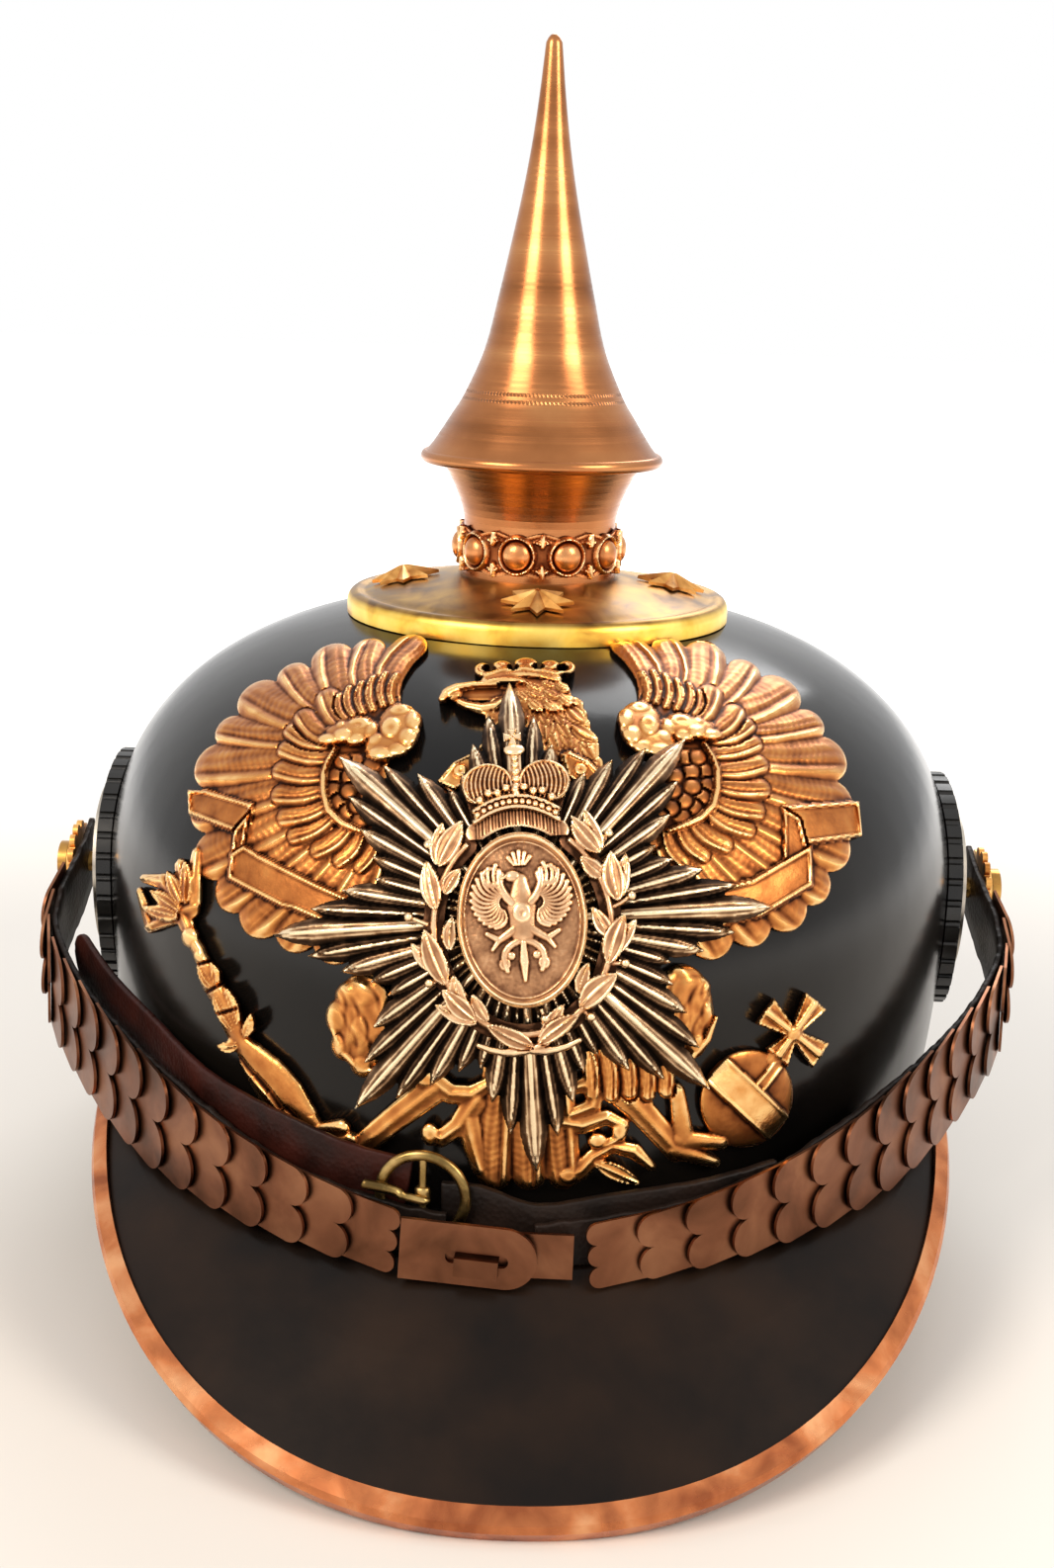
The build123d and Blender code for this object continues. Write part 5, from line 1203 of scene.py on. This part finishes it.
# Medallion: an oval plate with a thin double rim and a stippled ground, on
# which a small crowned eagle curls its wings.
medallion = start_relief(-12.5, 12.5, -16.5, 16.5, 0.11)
press_dome(medallion, 0, 0, medallion_half_width, medallion_half_height, wreath_gap + 1.9, 0.15)
u, w = medallion["u"], medallion["w"]
q = np.hypot(u / medallion_half_width, w / medallion_half_height)
stipple = np.random.default_rng(4).random(u.shape)
medallion["height"] += 0.3 * (soften(stipple, 2) - 0.5) * (q < 0.88)
rim = np.exp(-(((q - 0.955) / 0.03) ** 2))
medallion["height"] += 0.75 * rim + 0.35 * np.exp(-(((q - 0.885) / 0.014) ** 2))
medallion["tone"] += 0.2 * rim - 0.04 * (q < 0.88)
ground = wreath_gap + 2.0
press_rod(medallion, ((0, -2.4), (0, 3.0), (0, 6.8)), (2.0, 2.6, 1.3), ground, 0.7, tone=0.1)
medallion_rods = (
    (((1.4, -1.6), (4.2, -3.4), (6.2, -2.2)), (0.9, 0.7, 0.5)),
    (((4.2, -3.4), (5.4, -5.0)), (0.6, 0.4)),
)
for side in (-1, 1):
    curl = [
        (side * (4.9 + 1.7 * math.sin(0.7 * i)), 7.6 + 1.5 * math.cos(0.7 * i)) for i in range(8)
    ]
    press_rod(medallion, curl, (0.4, 0.6, 0.7), ground, 0.6, tone=0.12)
    arm = bowed(*mirrored(((1.6, 3.0), (3.6, 8.6)), side), -side * 0.8)
    press_rod(medallion, arm, (0.9, 0.8, 0.6), ground, 0.7, tone=0.12)
    for i in range(13):
        turn = math.radians(80 - 12.5 * i)
        ahead = np.array((side * math.cos(turn), math.sin(turn)))
        root = np.array((side * 2.6, 3.0)) + 1.4 * ahead
        end = np.array((side * 3.0, 3.2)) + (6.6 - 0.16 * i) * ahead
        press_rod(
            medallion, bowed(root, end, -side * 1.1), (0.3, 0.42, 0.5), ground, 0.6, tone=0.08,
        )
        press_dome(medallion, *end, 0.55, 0.5, ground, 0.6, tone=0.12)
    for points, radii in medallion_rods:
        press_rod(medallion, mirrored(points, side), radii, ground, 0.6, tone=0.08)
    tail = bowed(*mirrored(((0.6, -3.6), (3.0, -8.8)), side), side * 1.6)
    press_rod(medallion, tail, (0.7, 0.7, 0.5), ground, 0.6, tone=0.06)
    press_dome(medallion, side * 3.4, -7.6, 1.1, 1.2, ground, 0.7, hollow=0.7, tone=0.06)
    press_dome(medallion, side * 2.2, -6.2, 0.8, 0.8, ground, 0.6, tone=0.1)
press_rod(medallion, ((0, -4), (0, -10.6)), (0.6, 0.9, 0.4), ground, 0.7, tone=0.08)
press_dome(medallion, -1.3, 7.6, 1.5, 1.1, ground, 0.8, tone=0.14)
press_rod(medallion, ((-2.2, 7.8), (-3.2, 7.2)), (0.5, 0.3), ground, 0.7)
for x, y in ((-1.9, 10.9), (-1.0, 11.6), (0, 11.9), (1.0, 11.6), (1.9, 10.9)):
    press_rod(medallion, ((x * 0.5, 9.6), (x, y)), (0.35, 0.5), ground, 0.6, tone=0.16)
press_dome(medallion, 0, 1.2, 1.6, 1.9, ground + 0.5, 0.6, hollow=0.6, tone=0.16)
finish_relief(
    medallion, "medallion", lay_star, wreath_gap, rubbed_silver, "star_medallion",
)

# Crown over the medallion: a hatched circlet that arches over it, a band of
# pearls, two round lobes of fine ribs, and a cross on the knob between them.
crown = start_relief(-12.0, 12.0, 14.5, 36.0, 0.13)
u, w = crown["u"], crown["w"]
press_plate(
    crown, [(-7.8, 17.0), (7.6, 17.0), (9.0, 22.4), (-9.0, 22.4)], wreath_gap + 0.4, tone=-0.3,
)
for side, x, y in ((-1, -4.9, 24.4), (1, 5.3, 24.6)):
    press_dome(crown, x, y, 4.6, 4.1, wreath_gap + 0.8, 0.8)
    q = np.hypot((u - x) / 4.6, (w - y) / 4.1)
    ribs = 0.24 * np.sin((u + 0.08 * side * (w - y) ** 2) * 2 * math.pi / 0.8) * (q < 0.84)
    rim = np.exp(-(((q - 0.94) / 0.06) ** 2)) * (w > 21.0)
    crown["height"] += ribs + 0.6 * rim
    crown["tone"] += 0.3 * rim + 0.08 * (q < 0.84)
arch_top = 18.2
arch_fall = 0.048
arch_half = 7.4
arch = [(x, arch_top - arch_fall * (x + 0.2) ** 2) for x in np.linspace(-arch_half, arch_half, 15)]
press_rod(crown, arch, (1.75, 1.75), wreath_gap + 1.0, 0.35, over=True, tone=-0.2)
near_arch = np.abs(w - arch_top + arch_fall * (u + 0.2) ** 2) < 1.5
crown["height"] += 0.12 * np.sin(u * 2 * math.pi / 0.6) * (near_arch & (np.abs(u) < arch_half))
for lift in (1.9, 3.9):
    edge = [(x, y + lift) for x, y in arch]
    press_rod(crown, edge, (0.4, 0.4), wreath_gap + 1.5, 0.6, over=True, tone=0.3)
for i in range(13):
    x = -6.9 + 1.15 * i
    y = 21.1 - arch_fall * (x + 0.2) ** 2
    press_dome(crown, x, y, 0.55, 0.6, wreath_gap + 1.5, 0.6, over=True, tone=0.2)
for i in range(9):
    x = -6.4 + 1.6 * i
    y = 23.2 - 0.04 * x**2 + 0.5 * (i % 2)
    press_dome(crown, x, y, 0.65, 0.65, wreath_gap + 1.9, 0.7, tone=0.3)
press_rod(crown, ((0.2, 21.6), (0.2, 30.4)), (1.1, 1.2), wreath_gap + 1.0, 0.5, tone=0.1)
for i in range(6):
    press_dome(crown, 0.2, 22.6 + 1.3 * i, 0.6, 0.6, wreath_gap + 1.7, 0.6, tone=0.26)
press_dome(crown, 0.2, 30.8, 1.9, 1.2, wreath_gap + 1.4, 0.9, tone=0.24)
for dx, dy in ((1, 0), (-1, 0), (0, 1), (0, -1)):
    arm = [(0.3 * dy, 33.4 + 0.3 * dx), (1.6 * dx + 0.9 * dy, 33.4 + 1.6 * dy + 0.9 * dx)]
    arm += [(1.6 * dx - 0.9 * dy, 33.4 + 1.6 * dy - 0.9 * dx), (-0.3 * dy, 33.4 - 0.3 * dx)]
    press_plate(crown, arm, wreath_gap + 1.8, tone=0.36)
finish_relief(
    crown, "star_crown_plate", lay_star, wreath_gap, rubbed_silver, "star_crown",
)

# The band of bosses round the neck: stamped brass, with a dome in a raised
# ring ten times, and a leaf tip above and below between each two rings.
neck_radius = 17.0
boss_height = 15.0
boss_count = 10
boss_start_angle = 290.3
boss_radius = 3.2
boss_ring_radius = 4.25
boss_leaf = ((-2.0, 3.0), (0.0, 2.2), (2.0, 3.0), (0.9, 3.7), (0.2, 5.2), (-0.7, 3.8))
band_girth = 2 * math.pi * (neck_radius + 1.2)
boss_pitch = band_girth / boss_count
bosses = start_relief(0.0, band_girth + 0.1, -5.6, 5.6, band_girth / 620)
boss_tones = (
    (0.08, "#5a2a14"), (0.32, "#96542e"), (0.52, "#c27c4a"), (0.74, "#dd9f68"), (0.95, "#f5c893"),
)
boss_gilding = stamped_metal("boss_band_gilding", boss_tones, 4.0, (0.42, 0.22))
u, w = bosses["u"], bosses["w"]
edge_line = 4.35 + 0.55 * np.cos(2 * math.pi * u / boss_pitch)
press(
    bosses, np.s_[:, :], edge_line - np.abs(w), 0.55 + 0.3 * (edge_line - np.abs(w) < 0.7),
    tone=-0.14,
)
for i in range(-1, boss_count + 1):
    middle = boss_pitch * (i + 0.5)
    press_dome(bosses, middle, 0, boss_ring_radius + 0.3, boss_ring_radius + 0.3, 0.5, 0.35)
    q = np.hypot(u - middle, w)
    ring = np.exp(-(((q - boss_ring_radius + 0.35) / 0.36) ** 2))
    bosses["height"] = np.maximum(bosses["height"], 0.8 + 0.95 * ring - 9 * (ring < 0.05))
    bosses["tone"] += 0.16 * ring
    press_dome(bosses, middle, 0, boss_radius, boss_radius, 0.75, 2.0, tone=-0.04)
    for up_side in (-1, 1):
        between = middle + boss_pitch / 2
        tip = [(between + x, up_side * y) for x, y in boss_leaf]
        press_plate(bosses, tip, 1.0, rim=0.35, rim_width=0.5, crown=0.3, tone=0.06)
        vein = ((between, up_side * 2.2), (between + 0.2, up_side * 4.8))
        press_rod(bosses, vein, (0.35, 0.5, 0.2), 1.3, 0.6, tone=0.1)


def lay_on_neck(u, w, tall):
    """Bends the band's sheet round the neck."""
    turn = np.radians(boss_start_angle) + (u[:, 0] / boss_pitch - 0.5) * 2 * math.pi / boss_count
    reach = neck_radius + tall
    return np.stack((reach * np.cos(turn), reach * np.sin(turn), boss_height + w[:, 0]), 1)


finish_relief(bosses, "band_of_bosses", lay_on_neck, leather_gap, boss_gilding, "boss_band")

# The chin scales: sheet brass scales, each with a lobed free end, wired one
# over the next to a leather strap. They are dull and brown from handling.
scale_brass = aged_metal("handled_brass", ("#563726", "#7c5039", "#96674a"), 15, (0.3, 0.44))
for name in ("left_scales", "right_scales", "left_tongue_plate", "right_hook_plate"):
    dress(name, scale_brass)

# The straps under the scales: black leather with a worn, ragged edge that
# shows beside the scales. Their line runs in shares of the skull.
chin_line = (
    (0.000, -1.086, -0.976), (0.416, -1.007, -0.940), (0.679, -0.850, -0.903),
    (0.887, -0.653, -0.852), (1.027, -0.479, -0.805), (1.119, -0.312, -0.755),
    (1.134, -0.202, -0.703), (1.127, -0.110, -0.661), (1.121, -0.018, -0.620),
    (1.121, 0.055, -0.586),
)
strap_back = 2.6
strap_thickness = 1.3
strap_half = 4.6
strap_widening = 4.3
scale_margin = 1.0
strap_narrowing = 3.2
widening_start = 24.0
widening_length = 55.0
narrowing_length = 30.0
strap_step = 0.5
strap_section = (
    (-1, 0.3), (-0.97, 0.5), (-0.9, 0.56), (-0.5, 0.5), (0, 0.5), (0.5, 0.5), (0.9, 0.56),
    (0.97, 0.5), (1, 0.3), (1, -0.3), (0.97, -0.5), (0.5, -0.5), (0, -0.5), (-0.5, -0.5),
    (-0.97, -0.5), (-1, -0.3),
)
strap_leather = soft_leather("black_strap_leather", ("#0f0b09", "#241914"), 10, 1.0, 0.1, 0.5)


def leather_line(rows, side=1):
    """Places on a smooth line through shares of the skull, and how far along it each lies."""
    line = smooth_places(
        np.array(rows) * (skull_half_width, skull_half_length, skull_drop), strap_step,
    )
    line = line * (side, 1, 1)
    return line, np.concatenate(([0], np.cumsum(np.linalg.norm(np.diff(line, axis=0), axis=1))))


def leather_band(name, line, halves, offset, thickness, ragged, seed, material, body, node):
    """A leather strap along a line, with rounded and slightly ragged edges."""
    way = np.gradient(line, axis=0)
    way /= np.linalg.norm(way, axis=1)[:, None]
    aside = np.cross(line * (1, 1, 0), way)
    aside /= np.linalg.norm(aside, axis=1)[:, None]
    front = np.cross(way, aside)
    wear = np.random.default_rng(seed).normal(size=(2, len(line)))
    wear = np.stack([np.convolve(row, np.hanning(9) / 4.5, "same") for row in wear])
    rows = []
    for across, deep in strap_section:
        half = halves + ragged * wear[int(across > 0)] * abs(across)
        rows.append(line + aside * (across * half)[:, None] + front * (offset + deep * thickness))
    faces = tube_faces(len(line), len(rows), False)
    make_piece(
        name, np.stack(rows, 1).reshape(-1, 3), faces, material, body, [node],
    )


for side, name, start in ((-1, "left", 14.0), (1, "right", 4.0)):
    line, travelled = leather_line(chin_line, side)
    wide = np.clip((travelled - widening_start) / widening_length, 0, 1)
    narrow = np.clip(1 - (travelled[-1] - travelled) / narrowing_length, 0, None)
    halves = strap_half + strap_widening * wide - strap_narrowing * narrow
    halves = halves + scale_margin * wide * (1 - narrow)
    kept = travelled > start
    leather_band(
        name + "_backing_strap", line[kept], halves[kept], -strap_back - strap_thickness / 2,
        strap_thickness, 0.35, 3, strap_leather, name + "_chin", name + "_strap",
    )

# Inside the scales lie the adjusting strap's loose end, of dark red-brown
# leather with a rounded tip, and the short black strap that holds the buckle.
maroon_leather = soft_leather("maroon_strap_leather", ("#1e0b07", "#3a1710"), 9, 1.0, 0.08, 0.45)
tail_line = (
    (-0.214, -1.004, -0.892), (-0.314, -0.985, -0.878), (-0.418, -0.954, -0.856),
    (-0.626, -0.824, -0.823), (-0.790, -0.636, -0.790), (-0.925, -0.476, -0.755),
    (-1.029, -0.330, -0.710),
)
keeper_line = (
    (-0.148, -1.009, -0.914), (-0.084, -1.018, -0.914), (0.031, -1.030, -0.941),
    (0.188, -1.020, -0.920), (0.356, -0.978, -0.910), (0.502, -0.908, -0.904),
)
tail_half = 6.4
tail_round = 7.0
keeper_half = 4.5
line, travelled = leather_line(tail_line)
to_tip = np.clip((travelled[-1] - travelled) / tail_round, 0, 1)
halves = tail_half * np.sqrt(np.clip(1 - (1 - to_tip) ** 2, 0.02, 1))
leather_band(
    "loose_strap_end", line, halves, 0.0, 1.2, 0.1, 7, maroon_leather, "left_chin", "strap_tail",
)
line = leather_line(keeper_line)[0]
halves = np.full(len(line), keeper_half)
leather_band(
    "buckle_holder", line, halves, 0.0, 1.5, 0.1, 9, strap_leather, "right_chin", "buckle_strap",
)

# The buckle: a ring of round brass wire, a little flattened, with a bar across
# it on which a bent prong swings. Yellow brass, gone brownish green.
buckle_middle_x = -17.6
buckle_reach = 112.0
buckle_drop = 89.2
buckle_ring_radius = 8.0
buckle_wire = 1.05
bar_wire = 0.72
buckle_proud = 0.6
wire_sides = 12
wire_flatness = 0.8
ring_steps = 72
buckle_brass = aged_metal("yellow_brass", ("#5d4a2a", "#8e7545", "#bd9e66"), 5, (0.24, 0.4))


def bent_wire(name, points, radii, closed, body, nodes):
    """A round brass wire through places given along, above and out of the buckle's middle."""
    buckle_middle_y = -math.sqrt(buckle_reach**2 - buckle_middle_x**2)
    out = np.array((buckle_middle_x, buckle_middle_y, 0.0)) / buckle_reach
    along = np.array((-out[1], out[0], 0.0))
    axes = np.stack((along, (0, 0, 1), out))
    line = np.array(points, float)
    way = np.roll(line, -1, 0) - np.roll(line, 1, 0) if closed else np.gradient(line, axis=0)
    way /= np.linalg.norm(way, axis=1)[:, None]
    aside = np.cross(way, (0.0, 0.0, 1.0))
    aside /= np.maximum(np.linalg.norm(aside, axis=1), 0.01)[:, None]
    front = np.cross(way, aside)
    radii = np.array(radii)[:, None]
    rows = []
    for turn in np.linspace(0, 2 * math.pi, wire_sides, endpoint=False):
        rows.append(
            line + (aside * math.cos(turn) + wire_flatness * front * math.sin(turn)) * radii
        )
    points = np.stack(rows, 1).reshape(-1, 3) @ axes + out * buckle_reach - (0, 0, buckle_drop)
    make_piece(
        name, points, tube_faces(len(line), wire_sides, closed), buckle_brass, body, nodes,
    )


turns = np.linspace(0, 2 * math.pi, ring_steps, endpoint=False)
reach = buckle_ring_radius
ring_line = [(reach * math.cos(a), reach * math.sin(a), buckle_proud) for a in turns]
ring_radii = np.full(ring_steps, buckle_wire)
bent_wire("buckle_ring", ring_line, ring_radii, True, "right_chin", ["buckle_frame"])
bar_line = [(0, y, buckle_proud) for y in np.linspace(-buckle_ring_radius, buckle_ring_radius, 24)]
bent_wire("buckle_bar", bar_line, np.full(24, bar_wire), False, "right_chin", [])
prong_bends = (
    (1.6, -0.3, 1.4), (0.6, -0.3, 2.1), (-1.6, 0.1, 2.2), (-3.4, 0.6, 2.5), (-4.6, 1.1, 2.1),
    (-7.4, 1.5, 2.0), (-10.2, 2.1, 2.5), (-10.9, 2.3, 2.4),
)
prong_shares = (0, 0.08, 0.3, 0.36, 0.42, 0.75, 0.96, 1)
prong_radii = (0.35, 0.8, 0.85, 0.7, 0.95, 1.1, 0.95, 0.3)
prong_line = smooth_places(prong_bends, 0.3)
prong_radii = np.interp(np.linspace(0, 1, len(prong_line)), prong_shares, prong_radii)
bent_wire("bent_prong", prong_line, prong_radii, False, "prong", ["buckle_prong"])
sleeve_line = [(0, y, buckle_proud) for y in np.linspace(-1.2, 1.9, 14)]
sleeve_radii = 1.5 - 0.5 * np.abs(np.linspace(-1, 1, 14)) ** 6
bent_wire("prong_sleeve", sleeve_line, sleeve_radii, False, "prong", [])

# The pale floor. Far from the helmet it fades into the white of the studio,
# for what looks at it, so that no horizon shows.
floor_half = 6.0
fade_start = 0.22
fade_end = 0.75
floor_corners = [
    (x * floor_half, y * floor_half, 0) for x, y in ((-1, -1), (1, -1), (1, 1), (-1, 1))
]
floor_mesh = bpy.data.meshes.new("floor")
floor_mesh.from_pydata(floor_corners, [], [(0, 1, 2, 3)])
floor = bpy.data.objects.new("floor", floor_mesh)
bpy.context.scene.collection.objects.link(floor)
floor_paint, tree, place = start_material(
    "pale_floor", Metallic=0.0, Roughness=0.9, Specular_IOR_Level=0.0,
    Base_Color=linear("#ebe9e6"), Emission_Color=linear("#ffffff"),
)
distance = add_node(tree, "VectorMath", {0: place}, operation="LENGTH").outputs["Value"]
fade_inputs = {"Value": distance, "From Min": fade_start, "From Max": fade_end}
fade = add_node(tree, "MapRange", fade_inputs, interpolation_type="SMOOTHSTEP")
looked_at = add_node(tree, "LightPath").outputs
rays = {0: looked_at["Is Camera Ray"], 1: looked_at["Is Glossy Ray"]}
seen = add_node(tree, "Math", rays, operation="MAXIMUM")
glow = add_node(tree, "Math", {0: seen, 1: fade}, operation="MULTIPLY")
finish_material(floor_paint, Emission_Strength=glow)
floor_mesh.materials.append(floor_paint)

# The studio round it: white to look at and in reflections, and a softer
# light on the helmet.
studio_light = 0.5
world = bpy.data.worlds.new("studio")
bpy.context.scene.world = world
world.use_nodes = True
tree = world.node_tree
looked_at = add_node(tree, "LightPath").outputs
rays = {0: looked_at["Is Camera Ray"], 1: looked_at["Is Glossy Ray"]}
seen = add_node(tree, "Math", rays, operation="MAXIMUM")
seen = add_node(tree, "Math", {0: seen, 1: looked_at["Is Transmission Ray"]}, operation="MAXIMUM")
strength = add_node(tree, "MapRange", {"Value": seen, "To Min": studio_light, "To Max": 1.0})
studio = tree.nodes["Background"]
studio.inputs["Color"].default_value = linear("#ffffff")
tree.links.new(strength.outputs["Result"], studio.inputs["Strength"])


def add_lamp(name, place, aim, size, power, colour):
    """A square soft light that faces a place."""
    light = bpy.data.lights.new(name, "AREA")
    light.shape = "SQUARE"
    light.size = size
    light.energy = power
    light.color = linear(colour)[:3]
    lamp = bpy.data.objects.new(name, light)
    lamp.location = place
    way = np.array(aim) - np.array(place)
    flat = math.hypot(way[0], way[1])
    lamp.rotation_euler = (math.atan2(flat, -way[2]), 0, math.atan2(way[1], way[0]) - math.pi / 2)
    bpy.context.scene.collection.objects.link(lamp)


helmet_middle = (0, 0, 0.12)
add_lamp("left_softbox", (-0.75, -0.75, 0.85), helmet_middle, 0.6, 11.0, "#fff1e0")
add_lamp("right_softbox", (0.85, -0.55, 0.7), helmet_middle, 0.5, 7.0, "#fff1e0")
add_lamp("back_softbox", (0.2, 0.9, 0.9), helmet_middle, 0.7, 7.0, "#ffffff")

# The camera, where the photograph was taken from: a little above the helmet
# and tilted down, in millimetres from the skull's crown.
camera_place = (-0.165, -419.8, 71.62)
yaw, pitch, roll = math.radians(-0.132), math.radians(-14.97), math.radians(1.702)
camera_data = bpy.data.cameras.new("camera")
camera_data.lens = 42.74
camera_data.sensor_fit = "VERTICAL"
camera_data.sensor_height = 36.0
camera_data.clip_start = 0.01
camera = bpy.data.objects.new("camera", camera_data)
camera.location = (np.array(camera_place) + (0, 0, plate_foot)) * MM
ahead = np.array(
    (math.sin(yaw) * math.cos(pitch), math.cos(yaw) * math.cos(pitch), math.sin(pitch))
)
level = np.array((math.cos(yaw), -math.sin(yaw), 0.0))
above = np.cross(level, ahead)
right = level * math.cos(roll) + above * math.sin(roll)
above = above * math.cos(roll) - level * math.sin(roll)
columns = np.stack((right, above, -ahead), 1)
camera.rotation_euler = Matrix(columns.tolist()).to_euler()
bpy.context.scene.collection.objects.link(camera)
bpy.context.scene.camera = camera
bpy.context.scene.view_settings.view_transform = "Standard"
